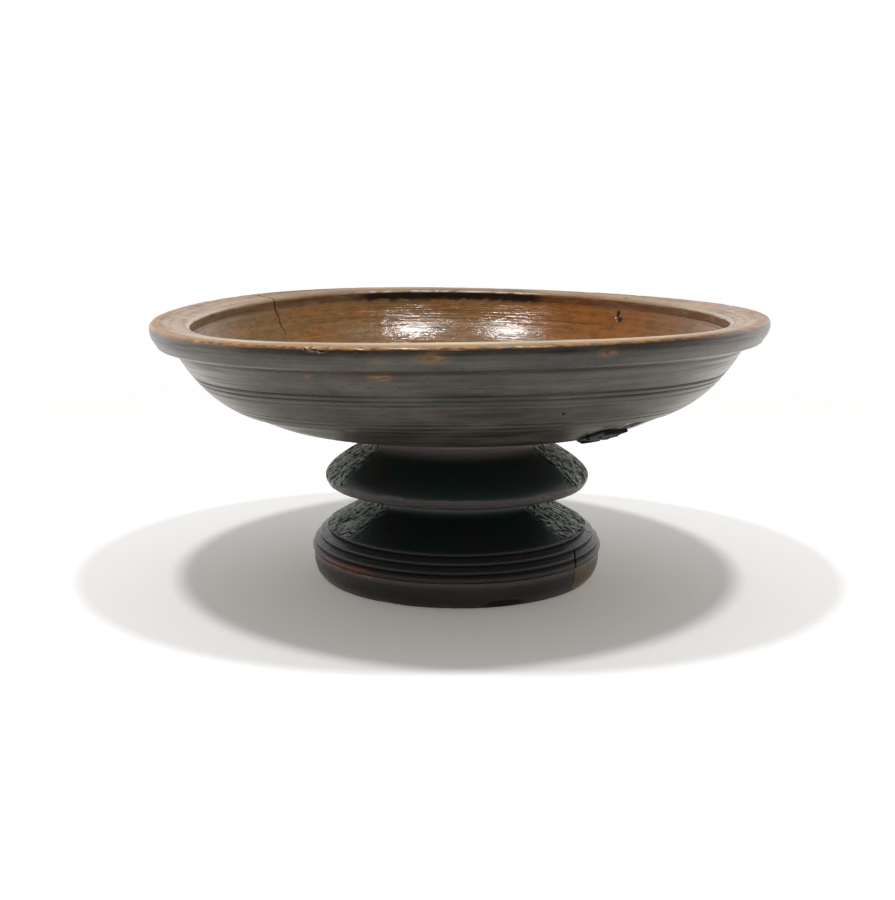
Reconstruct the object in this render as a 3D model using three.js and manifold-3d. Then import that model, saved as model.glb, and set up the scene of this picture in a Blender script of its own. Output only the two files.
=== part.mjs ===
// A pedestal dairy bowl: a shallow turned dish on a waisted pedestal of a disc, a reeded foot and a ring.
// Millimetres, +Z up, the floor at z = 0, the front at -Y. The grain of every turned piece runs along X.
import * as THREE from "three";
import { mergeVertices } from "three/addons/utils/BufferGeometryUtils.js";
import Module from "manifold-3d";

const wasm = await Module();
wasm.setup();

// Joints and facets
const JOINT_GAP = 0.3; // glue line or air between two pieces
const BOWL_STEPS = 64; // facets round the bowl
const PEDESTAL_STEPS = 48; // facets round the disc, the foot and the ring
const SMALL_STEPS = 12; // facets round a peg or a pin
const WALL_STEPS = 9; // facets up the bowl's wall
const BAND_STEPS = 5; // facets up the rim's band
const SECTOR_STEP = 15; // degrees between the corners of a sector's arc

// Foot: a reeded, swelling block with a collar on top
const FOOT_HEIGHT = 34;
const FOOT_RADIUS = 87.6;
const REED_SETBACKS = [0, 1.4, 4.6, 9.2]; // of each reed's nose in from the foot's radius, from the lowest up
const REED_HEIGHTS = [2.1, 5.7, 9.9, 13.9]; // of each reed's nose above the foot's base
const REED_SWELL = 0.8; // a nose is this far above its reed's lower edge and below its upper one
const REED_GROOVE_DEPTH = 1.1;
const REED_GROOVE_DROP = 1.5; // from a reed's nose down to its groove
const FOOT_COLLAR_RADIUS = 52; // the disc's base has this radius too
const FOOT_COLLAR_HEIGHT = 4.5;
const FOOT_REED_PULL = new THREE.Vector2(-5.5, 3.6); // how the shoulder sets off up from the top reed
const FOOT_COLLAR_PULL = new THREE.Vector2(7, -4.6); // how it sets off down from the collar

// Foot ring: the band that stands on the floor
const RING_HEIGHT = 15.7;
const REED_OVERHANG = 1.4; // the lowest reed overhangs the ring
const RING_TUCK = 4.6; // the sole's edge stands in from the ring's top edge
const RING_BORE_RADIUS = 52;
const RING_SOLE_PULL = new THREE.Vector2(3.5, 2.5);
const RING_TOP_PULL = new THREE.Vector2(1.1, -7.8);

// Waist disc: a collar that swells into a disc with a thin edge
const DISC_HEIGHT = 41.8;
const DISC_RADIUS = 79.4;
const DISC_EDGE_TOP = 10.3; // of the upper arris above the disc's base
const DISC_EDGE_NOSE = 8.2;
const DISC_EDGE_BOTTOM = 4.8;
const DISC_EDGE_TUCK = 2.6; // the lower arris stands in from the upper one
const DISC_NOSE_TUCK = 0.6;
const DISC_UNDERCUT = 1.6; // of the hollow turned under the disc, round its base
const DISC_COLLAR_RADIUS = 53.5;
const DISC_COLLAR_HEIGHT = 11;
const DISC_EDGE_PULL = new THREE.Vector2(-0.4, 5.5); // how the shoulder sets off up from the edge
const DISC_COLLAR_PULL = new THREE.Vector2(14, -8.2); // how it sets off out from the collar

// Bowl
const BOWL_HEIGHT = 64.9;
const RIM_RADIUS = 180;
const RIM_BAND_HEIGHT = 13;
const RIM_BAND_LEAN = 7.5; // the ledge's corner lies this far in from the rim
const BAND_LEDGE_PULL = new THREE.Vector2(4.8, 0.8); // how the band's swelling face sets off out from the ledge
const BAND_RIM_PULL = new THREE.Vector2(1, -4.5); // how it sets off down from the rim's rounding
const RIM_TOP_WIDTH = 23;
const RIM_ROUNDING = 2.2;
const CREST_SETBACK = 6.5; // a low crest runs round the rim, this far out from the lip
const CREST_HEIGHT = 0.6;
const LIP_DEPTH = 6.5; // upright inner face of the rim
const LIP_UNDERCUT = 0.4;
const LEDGE_DEPTH = 6.6; // step back under the band
const LEDGE_HEIGHT = 1.3;
const WALL = 11;
const FLOOR_DISH = 0.6; // the floor's middle lies this far below its edge
const UNDERSIDE_RADIUS = 87.5; // the nearly flat middle of the underside
const UNDERSIDE_RISE = 1; // of its edge above the seat
const HEEL_RADIUS = 131; // the heel is an arris low on the wall, where it turns up
const HEEL_RISE = 15.3; // of the heel above the seat
const SEAT_MARGIN = 1; // the seat is this much wider than the collar that it stands on
const SHOULDER_PULL = new THREE.Vector2(-14.5, -25.9); // how the wall sets off down from the ledge
const HEEL_UP_PULL = new THREE.Vector2(5.1, 2.5); // how it sets off up from the heel
const HEEL_DOWN_PULL = new THREE.Vector2(-10.4, -2.8); // how it sets off down from the heel
const BASE_PULL = new THREE.Vector2(20.9, 0.5); // how it sets off out from the underside
const GROOVE_SETBACKS = [8.6, 10.8, 27.3]; // of the turned lines, in from the wall's top
const GROOVE_WIDTH = 1.6;
const GROOVE_DEPTH = 0.8;
const SOCKET_DEPTH = 7.5; // blind socket for the spindle

// How the wood has moved since it was turned: shrunk across the grain, and the bowl's ends sagged
const BOWL_SHRINKAGE = 0.036;
const DISC_SHRINKAGE = 0.048;
const FOOT_SHRINKAGE = 0.03;
const BOWL_DRIFT = 1.1; // the rim has moved this far towards +X from the pedestal's axis
const RIM_TILT_RIGHT = 1.7;
const RIM_TWIST = 1.5;
const RIM_SADDLE = 1;
const RIM_RIPPLE_SIDE = -0.3; // three waves round the rim, from their share at the sides
const RIM_RIPPLE_FRONT = 0.45; // and from their share at the front
const WALL_SAG = 2.8; // of the wall's ends, along the grain, below the ring it was turned to

// Centre spindle and its wedges
const SPINDLE_RADIUS = 15;
const SPINDLE_PROUD = 6; // its lower end stands below the foot, inside the ring
const KERF_DEPTH = 18;
const KERF_WIDTH = 3.4; // at the spindle's end
const KERF_NOSE = 1.2; // at the kerf's far end
const WEDGE_SETBACK = 2; // the wedges stop this short of the spindle's face
const WEDGE_PROUD = 2; // the lower wedge stands out of its kerf

// Pegs, the let-in length of the ring, and the patch with its pins
const PEG_RADIUS = 3;
const PEG_COUNT = 6;
const PEG_IN_FOOT = 9;
const PEG_RECESS = 2; // the pegs' ends are worn back from the floor
const INSERT_START = 52; // degrees from the front towards +X
const INSERT_SWEEP = 50;
const PATCH_START = 35.5;
const PATCH_SWEEP = 14;
const PATCH_SETBACK = 17.5; // out from the underside's edge
const PATCH_WIDTH = 17;
const PATCH_THICKNESS = 1.9;
const PATCH_STEPS = 4;
const PIN_RADIUS = 1.1;
const PIN_COUNT = 3;
const PIN_DEPTH = 5; // into the bowl
const PIN_HEAD_RECESS = 0.4;

// Heights and radii that follow, stacked up from the floor
const FOOT_BASE = RING_HEIGHT + JOINT_GAP;
const FOOT_TOP = FOOT_BASE + FOOT_HEIGHT;
const DISC_BASE = FOOT_TOP + JOINT_GAP;
const DISC_TOP = DISC_BASE + DISC_HEIGHT;
const BOWL_SEAT = DISC_TOP + JOINT_GAP;
const RIM_TOP = BOWL_SEAT + BOWL_HEIGHT;
const LIP_RADIUS = RIM_RADIUS - RIM_TOP_WIDTH;
const RING_TOP_RADIUS = FOOT_RADIUS - REED_OVERHANG;
const RING_SOLE_RADIUS = RING_TOP_RADIUS - RING_TUCK;
const BORE_RADIUS = SPINDLE_RADIUS + JOINT_GAP;
const SPINDLE_BOTTOM = FOOT_BASE - SPINDLE_PROUD;
const SPINDLE_TOP = BOWL_SEAT + SOCKET_DEPTH - JOINT_GAP;
const PATCH_INNER_RADIUS = UNDERSIDE_RADIUS + PATCH_SETBACK;
const BEYOND = 20; // how far a cutting solid runs past what it cuts

const radians = THREE.MathUtils.degToRad;
const point = (radius, height) => new THREE.Vector2(radius, height);

// Solids

// A three.js geometry as a closed solid that can be cut and joined.
function solid(geometry) {
  const bare = geometry.clone();
  bare.deleteAttribute("normal");
  bare.deleteAttribute("uv");
  const merged = mergeVertices(bare, 1e-4);
  const corners = merged.index.array;
  const faces = [];
  for (let i = 0; i < corners.length; i += 3) {
    const [a, b, c] = corners.slice(i, i + 3);
    if (a !== b && b !== c && c !== a) faces.push(a, b, c);
  }
  return new wasm.Manifold(
    new wasm.Mesh({
      numProp: 3,
      vertProperties: merged.attributes.position.array,
      triVerts: new Uint32Array(faces),
    }),
  );
}

// An outline of [radius, height] points, turned about the upright axis. Angle 0 is the front.
function turned(outline, steps) {
  const lathe = new THREE.LatheGeometry(outline, steps);
  return solid(lathe.rotateX(Math.PI / 2));
}

// An upright round bar from one height to another at [x, y].
function upright(radius, bottom, top, x, y) {
  const bar = new THREE.CylinderGeometry(radius, radius, top - bottom, SMALL_STEPS);
  return solid(bar.rotateX(Math.PI / 2).translate(x, y, (bottom + top) / 2));
}

// A tall wedge of space with its edge on the axis, between two angles from the front.
function sector(start, end, reach, bottom, top) {
  const slice = new THREE.Shape();
  slice.moveTo(0, 0);
  const parts = Math.ceil((end - start) / SECTOR_STEP);
  for (let i = 0; i <= parts; i++) {
    const angle = radians(start + ((end - start) * i) / parts);
    slice.lineTo(reach * Math.sin(angle), -reach * Math.cos(angle));
  }
  slice.closePath();
  const block = new THREE.ExtrudeGeometry(slice, { depth: top - bottom, bevelEnabled: false });
  return solid(block.translate(0, 0, bottom));
}

// The solid as a mesh of its own, after the wood has moved.
function mesh(name, shape, material, move) {
  const { vertProperties, triVerts } = shape.getMesh();
  const geometry = new THREE.BufferGeometry();
  geometry.setAttribute("position", new THREE.Float32BufferAttribute(vertProperties, 3));
  geometry.setIndex([...triVerts]);
  if (move) {
    const position = geometry.attributes.position;
    for (let i = 0; i < position.count; i++) {
      const spot = new THREE.Vector3().fromBufferAttribute(position, i);
      position.setXYZ(i, ...move(spot).toArray());
    }
  }
  geometry.computeVertexNormals();
  const body = new THREE.Mesh(geometry, material);
  body.name = name;
  return body;
}

// Wood movement

// A piece shrinks across the grain, but less near the spindle, which holds its bore round.
function shrink(amount) {
  return (spot) => {
    const radius = Math.hypot(spot.x, spot.y);
    const free = THREE.MathUtils.smoothstep(radius, BORE_RADIUS + 1, FOOT_COLLAR_RADIUS);
    return spot.set(spot.x, spot.y * (1 - amount * free), spot.z);
  };
}

// The bowl shrinks too, its rim leans, twists and ripples, and the ends of its wall sag.
function warp(spot) {
  const radius = Math.hypot(spot.x, spot.y);
  const angle = Math.atan2(spot.x, -spot.y);
  const away = THREE.MathUtils.smoothstep(radius, DISC_COLLAR_RADIUS + SEAT_MARGIN, 0.75 * RIM_RADIUS);
  const span = (radius / RIM_RADIUS) ** 2 * away;
  const belowRim = 1 - THREE.MathUtils.smoothstep(radius, 0.9 * RIM_RADIUS, RIM_RADIUS);
  const lean = RIM_TILT_RIGHT * Math.sin(angle);
  const twist = RIM_TWIST * Math.sin(2 * angle) + RIM_SADDLE * Math.cos(2 * angle);
  const ripple = RIM_RIPPLE_SIDE * Math.sin(3 * angle) + RIM_RIPPLE_FRONT * Math.cos(3 * angle);
  const sag = WALL_SAG * away * belowRim * Math.sin(angle) ** 2;
  const x = spot.x + BOWL_DRIFT * away;
  const y = spot.y * (1 - BOWL_SHRINKAGE * away);
  return spot.set(x, y, spot.z + span * (lean + twist + ripple) - sag);
}

// Outlines

const ledgeCorner = point(RIM_RADIUS - RIM_BAND_LEAN, RIM_TOP - RIM_BAND_HEIGHT);
const wallTop = point(ledgeCorner.x - LEDGE_DEPTH, ledgeCorner.y - LEDGE_HEIGHT);
const wallFoot = point(UNDERSIDE_RADIUS, BOWL_SEAT + UNDERSIDE_RISE);
const heel = point(HEEL_RADIUS, BOWL_SEAT + HEEL_RISE);

// A curve between two points, each pull given from its own end.
function pulled(start, startPull, endPull, end) {
  return new THREE.CubicBezierCurve(start, start.clone().add(startPull), end.clone().add(endPull), end);
}

const wallCurve = new THREE.CurvePath();
wallCurve.add(pulled(wallFoot, BASE_PULL, HEEL_DOWN_PULL, heel));
wallCurve.add(pulled(heel, HEEL_UP_PULL, SHOULDER_PULL, wallTop));

// Where the wall's curve has this radius, as a share of the curve.
function shareAt(radius) {
  let low = 0;
  let high = 1;
  for (let i = 0; i < 40; i++) {
    const middle = (low + high) / 2;
    if (wallCurve.getPoint(middle).x < radius) low = middle;
    else high = middle;
  }
  return (low + high) / 2;
}

// A point of the wall, moved in from its outside face.
function wallPoint(share, inward) {
  const along = wallCurve.getTangent(share);
  const spot = wallCurve.getPoint(share);
  return point(spot.x - along.y * inward, spot.y + along.x * inward);
}

// The wall's outside from the underside up to the ledge, with its turned lines.
function wallOutside() {
  let marks = [];
  for (let i = 0; i <= WALL_STEPS; i++) marks.push({ share: i / WALL_STEPS, inward: 0 });
  marks.push({ share: shareAt(HEEL_RADIUS), inward: 0 });
  for (const setback of GROOVE_SETBACKS) {
    const radius = wallTop.x - setback;
    const lower = shareAt(radius - GROOVE_WIDTH / 2);
    const upper = shareAt(radius + GROOVE_WIDTH / 2);
    const near = (mark) => mark.inward === 0 && mark.share > lower - 0.01 && mark.share < upper + 0.01;
    marks = marks.filter((mark) => !near(mark));
    marks.push({ share: lower, inward: 0 }, { share: upper, inward: 0 });
    marks.push({ share: shareAt(radius), inward: GROOVE_DEPTH });
  }
  marks.sort((one, other) => one.share - other.share);
  return marks.map((mark) => wallPoint(mark.share, mark.inward));
}

// The wall's inside, one wall's thickness in, from the lip down to the floor.
function wallInside() {
  const line = [];
  for (let i = WALL_STEPS; i >= 0; i--) {
    const spot = wallPoint(i / WALL_STEPS, WALL);
    if (spot.x < LIP_RADIUS && spot.y < RIM_TOP - LIP_DEPTH - 1) line.push(spot);
  }
  return line;
}

// The arc of a rounded edge between two angles, in degrees.
function rounded(radius, height, from, to) {
  const centre = point(radius, height - RIM_ROUNDING);
  const arc = new THREE.Path();
  arc.absarc(centre.x, centre.y, RIM_ROUNDING, radians(from), radians(to), false);
  return arc.getPoints(3);
}

function bowlOutline() {
  const rimEdge = point(RIM_RADIUS, RIM_TOP - RIM_ROUNDING);
  const band = pulled(ledgeCorner, BAND_LEDGE_PULL, BAND_RIM_PULL, rimEdge);
  return [
    point(0, BOWL_SEAT + SOCKET_DEPTH),
    point(BORE_RADIUS, BOWL_SEAT + SOCKET_DEPTH),
    point(BORE_RADIUS, BOWL_SEAT),
    point(DISC_COLLAR_RADIUS + SEAT_MARGIN, BOWL_SEAT),
    ...wallOutside(),
    ...band.getPoints(BAND_STEPS).slice(0, -1),
    ...rounded(RIM_RADIUS - RIM_ROUNDING, RIM_TOP, 0, 90),
    point(LIP_RADIUS + CREST_SETBACK, RIM_TOP + CREST_HEIGHT),
    ...rounded(LIP_RADIUS + RIM_ROUNDING, RIM_TOP, 90, 180),
    point(LIP_RADIUS + LIP_UNDERCUT, RIM_TOP - LIP_DEPTH),
    ...wallInside(),
    point(0, wallFoot.y + WALL - FLOOR_DISH),
  ];
}

function discOutline() {
  const edge = point(DISC_RADIUS, DISC_BASE + DISC_EDGE_TOP);
  const collar = point(DISC_COLLAR_RADIUS, DISC_TOP - DISC_COLLAR_HEIGHT);
  const shoulder = pulled(edge, DISC_EDGE_PULL, DISC_COLLAR_PULL, collar);
  const lowerArris = point(DISC_RADIUS - DISC_EDGE_TUCK, DISC_BASE + DISC_EDGE_BOTTOM);
  return [
    point(BORE_RADIUS, DISC_BASE),
    point(FOOT_COLLAR_RADIUS, DISC_BASE),
    point(FOOT_COLLAR_RADIUS + DISC_UNDERCUT, DISC_BASE + DISC_UNDERCUT),
    lowerArris,
    point(DISC_RADIUS - DISC_NOSE_TUCK, DISC_BASE + DISC_EDGE_NOSE),
    ...shoulder.getPoints(7),
    point(DISC_COLLAR_RADIUS, DISC_TOP),
    point(BORE_RADIUS, DISC_TOP),
    point(BORE_RADIUS, DISC_BASE),
  ];
}

// One reed of the foot: the groove under it, then its swelling nose. The lowest one's groove is the base.
function reed(setback, index) {
  const radius = FOOT_RADIUS - setback;
  const nose = FOOT_BASE + REED_HEIGHTS[index];
  const groove = index === 0 ? FOOT_BASE : nose - REED_GROOVE_DROP;
  return [
    point(radius - REED_GROOVE_DEPTH, groove),
    point(radius, nose),
    point(radius - REED_SWELL / 2, nose + REED_SWELL),
  ];
}

function footOutline() {
  const reeds = REED_SETBACKS.flatMap(reed);
  const start = reeds[reeds.length - 1];
  const end = point(FOOT_COLLAR_RADIUS, FOOT_TOP - FOOT_COLLAR_HEIGHT);
  const shoulder = pulled(start, FOOT_REED_PULL, FOOT_COLLAR_PULL, end);
  return [
    point(BORE_RADIUS, FOOT_BASE),
    ...reeds,
    ...shoulder.getPoints(6).slice(1),
    point(FOOT_COLLAR_RADIUS, FOOT_TOP),
    point(BORE_RADIUS, FOOT_TOP),
    point(BORE_RADIUS, FOOT_BASE),
  ];
}

function ringOutline() {
  const sole = point(RING_SOLE_RADIUS, 0);
  const top = point(RING_TOP_RADIUS, RING_HEIGHT);
  const face = pulled(sole, RING_SOLE_PULL, RING_TOP_PULL, top);
  return [
    point(RING_BORE_RADIUS, 0),
    ...face.getPoints(5),
    point(RING_BORE_RADIUS, RING_HEIGHT),
    point(RING_BORE_RADIUS, 0),
  ];
}

// The patch follows the wall from below, one joint's gap away from it.
function patchOutline() {
  const near = [];
  const far = [];
  for (let i = 0; i <= PATCH_STEPS; i++) {
    const share = shareAt(PATCH_INNER_RADIUS + (PATCH_WIDTH * i) / PATCH_STEPS);
    near.push(wallPoint(share, -JOINT_GAP));
    far.push(wallPoint(share, -JOINT_GAP - PATCH_THICKNESS));
  }
  return [...far, ...near.reverse(), far[0]];
}

// The spindle and its wedges. Each wedge spreads the spindle along the grain of the blocks, never across it.

// A tapered tongue across the spindle, of one width at its mouth and another at its tip.
function taper(mouthWidth, tipWidth, length, mouth, tip) {
  const way = Math.sign(tip - mouth);
  const side = new THREE.Shape();
  side.moveTo((-mouthWidth / 2) * way, mouth);
  side.lineTo((mouthWidth / 2) * way, mouth);
  side.lineTo((tipWidth / 2) * way, tip);
  side.lineTo((-tipWidth / 2) * way, tip);
  side.closePath();
  const tongue = new THREE.ExtrudeGeometry(side, { depth: length, bevelEnabled: false });
  tongue.translate(0, 0, -length / 2).rotateX(Math.PI / 2);
  return solid(tongue);
}

const kerfSlope = (KERF_WIDTH - KERF_NOSE) / KERF_DEPTH;

// The kerf's cut starts beyond the spindle's end, in the way (1 up, -1 down) that leads into the wood.
function kerf(end, way) {
  const width = KERF_WIDTH + kerfSlope * BEYOND;
  return taper(width, KERF_NOSE, 2 * SPINDLE_RADIUS + BEYOND, end - way * BEYOND, end + way * KERF_DEPTH);
}

function wedge(end, way, proud) {
  const width = KERF_WIDTH - 2 * JOINT_GAP + kerfSlope * proud;
  const length = 2 * (SPINDLE_RADIUS - WEDGE_SETBACK);
  const tip = end + way * (KERF_DEPTH - JOINT_GAP);
  return taper(width, KERF_NOSE - 2 * JOINT_GAP, length, end - way * proud, tip);
}

function spindle() {
  const outline = [
    point(0, SPINDLE_BOTTOM),
    point(SPINDLE_RADIUS, SPINDLE_BOTTOM),
    point(SPINDLE_RADIUS, SPINDLE_TOP),
    point(0, SPINDLE_TOP),
  ];
  return turned(outline, 2 * SMALL_STEPS).subtract(kerf(SPINDLE_TOP, -1)).subtract(kerf(SPINDLE_BOTTOM, 1));
}

// Places of the pegs and pins, as [x, y]

function spotAt(radius, degrees) {
  return [radius * Math.sin(radians(degrees)), -radius * Math.cos(radians(degrees))];
}

const pegCircle = (RING_BORE_RADIUS + RING_SOLE_RADIUS) / 2;
const firstPeg = INSERT_START + INSERT_SWEEP / 2;
const pegStep = 360 / PEG_COUNT;
const pegSpots = Array.from({ length: PEG_COUNT }, (_, i) => spotAt(pegCircle, firstPeg + pegStep * i));

const pinCircle = PATCH_INNER_RADIUS + PATCH_WIDTH / 2;
const pinSeat = wallPoint(shareAt(pinCircle), 0).y;
const pinStep = PATCH_SWEEP / PIN_COUNT;
const firstPin = PATCH_START + pinStep / 2;
const pinSpots = Array.from({ length: PIN_COUNT }, (_, i) => spotAt(pinCircle, firstPin + pinStep * i));

// An upright hole at each spot, cut out of a solid.
function drill(shape, spots, radius, bottom, top) {
  return spots.reduce((left, [x, y]) => left.subtract(upright(radius, bottom, top, x, y)), shape);
}

// Materials

function wood(colour, roughness) {
  return new THREE.MeshStandardMaterial({ color: colour, roughness, metalness: 0 });
}

const bowlWood = wood(0x5b5142, 0.35);
const pedestalWood = wood(0x22241f, 0.45);
const ringWood = wood(0x2c2522, 0.4);
const insertWood = wood(0x5f5a3a, 0.5);
const hiddenWood = wood(0x8a6b45, 0.7);
const patchWood = wood(0x2a2723, 0.7);
const pinMetal = new THREE.MeshStandardMaterial({ color: 0x3b342e, roughness: 0.6, metalness: 0.8 });

// Pieces

const pinHole = PIN_RADIUS + JOINT_GAP;
const pinTop = pinSeat + PIN_DEPTH;
const pinBottom = pinSeat - JOINT_GAP - PATCH_THICKNESS + PIN_HEAD_RECESS;
const bowl = drill(turned(bowlOutline(), BOWL_STEPS), pinSpots, pinHole, pinSeat - BEYOND, pinTop);
const patchRing = turned(patchOutline(), BOWL_STEPS);
const patchBlock = sector(PATCH_START, PATCH_START + PATCH_SWEEP, RIM_RADIUS, 0, RIM_TOP);
const patch = drill(patchRing.intersect(patchBlock), pinSpots, pinHole, pinSeat - BEYOND, pinSeat + BEYOND);

const disc = turned(discOutline(), PEDESTAL_STEPS);

const pegHole = PEG_RADIUS + JOINT_GAP;
const pegTop = FOOT_BASE + PEG_IN_FOOT;
const foot = drill(turned(footOutline(), PEDESTAL_STEPS), pegSpots, pegHole, FOOT_BASE - BEYOND, pegTop);

const ringTop = RING_HEIGHT + BEYOND;
const ringReach = RING_TOP_RADIUS + BEYOND;
const ring = drill(turned(ringOutline(), PEDESTAL_STEPS), pegSpots, pegHole, -BEYOND, ringTop);
const insertEnd = INSERT_START + INSERT_SWEEP;
const endGap = THREE.MathUtils.radToDeg(JOINT_GAP / RING_BORE_RADIUS);
const insertSpace = sector(INSERT_START - endGap, insertEnd + endGap, ringReach, -BEYOND, ringTop);
const insertBlock = sector(INSERT_START, insertEnd, ringReach, -BEYOND, ringTop);

// Assembly. The origin lies on the floor under the rim's middle, which has drifted off the pedestal's axis.

const pedestal = new THREE.Group();
pedestal.add(
  mesh("foot_ring", ring.subtract(insertSpace), ringWood, shrink(FOOT_SHRINKAGE)),
  mesh("foot_ring_insert", ring.intersect(insertBlock), insertWood, shrink(FOOT_SHRINKAGE)),
  mesh("foot", foot, pedestalWood, shrink(FOOT_SHRINKAGE)),
  mesh("waist_disc", disc, pedestalWood, shrink(DISC_SHRINKAGE)),
);
pegSpots.forEach(([x, y], i) => {
  const peg = upright(PEG_RADIUS, PEG_RECESS, pegTop - JOINT_GAP, x, y);
  pedestal.add(mesh(`ring_peg_${i + 1}`, peg, hiddenWood, shrink(FOOT_SHRINKAGE)));
});

const joinery = new THREE.Group();
joinery.add(
  mesh("centre_spindle", spindle(), hiddenWood),
  mesh("spindle_top_wedge", wedge(SPINDLE_TOP, -1, 0), hiddenWood),
  mesh("spindle_foot_wedge", wedge(SPINDLE_BOTTOM, 1, WEDGE_PROUD), hiddenWood),
);

const dish = new THREE.Group();
dish.add(mesh("bowl", bowl, bowlWood, warp), mesh("underside_patch", patch, patchWood, warp));
pinSpots.forEach(([x, y], i) => {
  const pin = upright(PIN_RADIUS, pinBottom, pinTop - JOINT_GAP, x, y);
  dish.add(mesh(`patch_pin_${i + 1}`, pin, pinMetal, warp));
});

const pedestalBowl = new THREE.Group();
pedestalBowl.add(pedestal, joinery, dish);
pedestalBowl.position.x = -BOWL_DRIFT;

export default pedestalBowl;
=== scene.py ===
"""The looks of a pedestal dairy bowl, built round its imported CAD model.

Shapes are worked out in millimetres, with the floor at z = 0, the front at -Y and angles measured from
the front towards +X. A mesh turns them into metres when it is made.
"""

import logging
import math
from dataclasses import dataclass
from enum import Enum
from typing import Callable

import bpy
import numpy as np
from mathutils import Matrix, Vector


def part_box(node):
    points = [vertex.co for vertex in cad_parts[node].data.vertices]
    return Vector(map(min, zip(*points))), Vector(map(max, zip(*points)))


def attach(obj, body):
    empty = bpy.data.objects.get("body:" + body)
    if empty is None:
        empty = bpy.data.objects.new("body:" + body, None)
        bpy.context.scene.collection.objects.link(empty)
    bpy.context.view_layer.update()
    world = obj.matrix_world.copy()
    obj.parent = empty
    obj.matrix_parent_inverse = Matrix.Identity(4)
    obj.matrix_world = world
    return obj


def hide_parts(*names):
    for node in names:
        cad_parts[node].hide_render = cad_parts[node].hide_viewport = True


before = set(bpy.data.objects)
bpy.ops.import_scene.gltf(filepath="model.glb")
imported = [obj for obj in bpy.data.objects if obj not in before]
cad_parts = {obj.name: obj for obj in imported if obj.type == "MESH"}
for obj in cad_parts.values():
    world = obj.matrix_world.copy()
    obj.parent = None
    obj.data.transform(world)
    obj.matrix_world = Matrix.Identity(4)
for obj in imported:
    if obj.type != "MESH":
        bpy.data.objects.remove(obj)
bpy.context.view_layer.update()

MM = 0.001
BODY = "root"
JOINT_GAP = 0.3
SPINDLE_BORE = 15.3
FOOT_SHRINKAGE = 0.03  # of the foot and of its ring, across the grain
BOWL_DRIFT = 1.1  # the rim's middle, which is the origin, has drifted this far from the pedestal's axis
log = logging.getLogger("pedestal_bowl")

Array = np.ndarray
Pair = tuple[float, float]
Triple = tuple[float, float, float]


class Paint(Enum):
    """The masks that a mesh carries for its finish, from 0 to 1."""

    RUBBED = "rubbed"  # patina worn through to warm wood
    TORN = "torn"  # end grain pulled out by the turning tool
    DARK = "dark"  # cracks, holes and trapped dirt, and painted shade under edges, under the lip, in the reeds' grooves and in the broken hollow
    INSIDE = "inside"  # the dish's inner face
    HANDLED = "handled"  # smooth brown faces, such as the rim's top, the collars and the reeds; on the collar under the bowl, painted light against the bowl's shade
    PALE = "pale"  # places rubbed or scraped down to bare wood, and painted highlights and painted light along the rim, its bead, the band's lower edge and the lip


# Measures from the imported model


def node_top(node: str) -> float:
    """The highest point of a CAD node."""
    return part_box(node)[1].z / MM


def node_bottom(node: str) -> float:
    """The lowest point of a CAD node."""
    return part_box(node)[0].z / MM


def node_reach(node: str) -> float:
    """Half of a CAD node's width along the grain, which the wood's shrinking has left as it was turned."""
    low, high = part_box(node)
    return (high.x - low.x) / 2 / MM


# Plain maths on arrays


def rise(values: Array, low: float, high: float) -> Array:
    """A smooth step.

    Args:
        values: What is measured.
        low: Where the step leaves 0.
        high: Where it reaches 1. It may lie below low, and the step then falls.

    Returns:
        The step's height at each value.
    """
    share = np.clip((values - low) / (high - low), 0, 1)
    return share * share * (3 - 2 * share)


def hump(values: Array, middle: float, half: float, flat: float = 0.0) -> Array:
    """A smooth hump of height 1, flat over a share of its half width."""
    return rise(np.abs(values - middle), half, half * flat)


def turn_from(angle: Array, centre: float) -> Array:
    """How far each angle lies from a centre, in degrees, the short way round."""
    return (np.degrees(angle) - centre + 180) % 360 - 180


class WoodNoise:
    """Smooth random values on a lattice that repeats. They are the same on each run."""

    CELLS = 48
    LAYER_SHIFT = 17.0  # moves each layer's lattice against the one before

    def __init__(self, seed: int) -> None:
        """Draws the lattice from a seed."""
        self.lattice = np.random.default_rng(seed).random((self.CELLS,) * 3)

    def at(self, spots: Array, wavelengths: Triple) -> Array:
        """One layer of noise.

        Args:
            spots: Points, with the coordinates in the last axis.
            wavelengths: Size of a lattice cell along each axis.

        Returns:
            Values from 0 to 1, one for each point.
        """
        cell = spots / np.array(wavelengths)
        low = np.floor(cell).astype(int)
        part = cell - low
        part = part * part * (3 - 2 * part)
        near, far = low % self.CELLS, (low + 1) % self.CELLS
        total = 0.0
        for corner in np.ndindex(2, 2, 2):
            picked = [far[..., k] if corner[k] else near[..., k] for k in range(3)]
            weight = 1.0
            for k in range(3):
                weight = weight * (part[..., k] if corner[k] else 1 - part[..., k])
            total = total + weight * self.lattice[picked[0], picked[1], picked[2]]
        return total

    def layered(self, spots: Array, wavelengths: Triple, layers: int = 3) -> Array:
        """Layers of noise, each half as large and half as strong as the one before.

        Args:
            spots: Points, with the coordinates in the last axis.
            wavelengths: Size of the first layer's lattice cell along each axis.
            layers: How many there are.

        Returns:
            Values from 0 to 1, one for each point.
        """
        total, weight = 0.0, 0.0
        for layer in range(layers):
            scale = 0.5**layer
            sizes = tuple(length * scale for length in wavelengths)
            total = total + scale * self.at(spots + self.LAYER_SHIFT * layer, sizes)
            weight += scale
        return total / weight


# Turned outlines


def bezier(start: Array, pull_out: Array, pull_in: Array, end: Array, count: int = 60) -> Array:
    """A curve between two points.

    Args:
        start: Its first point.
        pull_out: Its second control point, counted from the start.
        pull_in: Its third control point, counted from the end.
        end: Its last point.
        count: How many points it gets.

    Returns:
        Its points.
    """
    share = np.linspace(0, 1, count)[:, None]
    first, last = np.asarray(start, float), np.asarray(end, float)
    second, third = first + pull_out, last + pull_in
    early = (1 - share) ** 3 * first + 3 * (1 - share) ** 2 * share * second
    return early + 3 * (1 - share) * share**2 * third + share**3 * last


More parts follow.
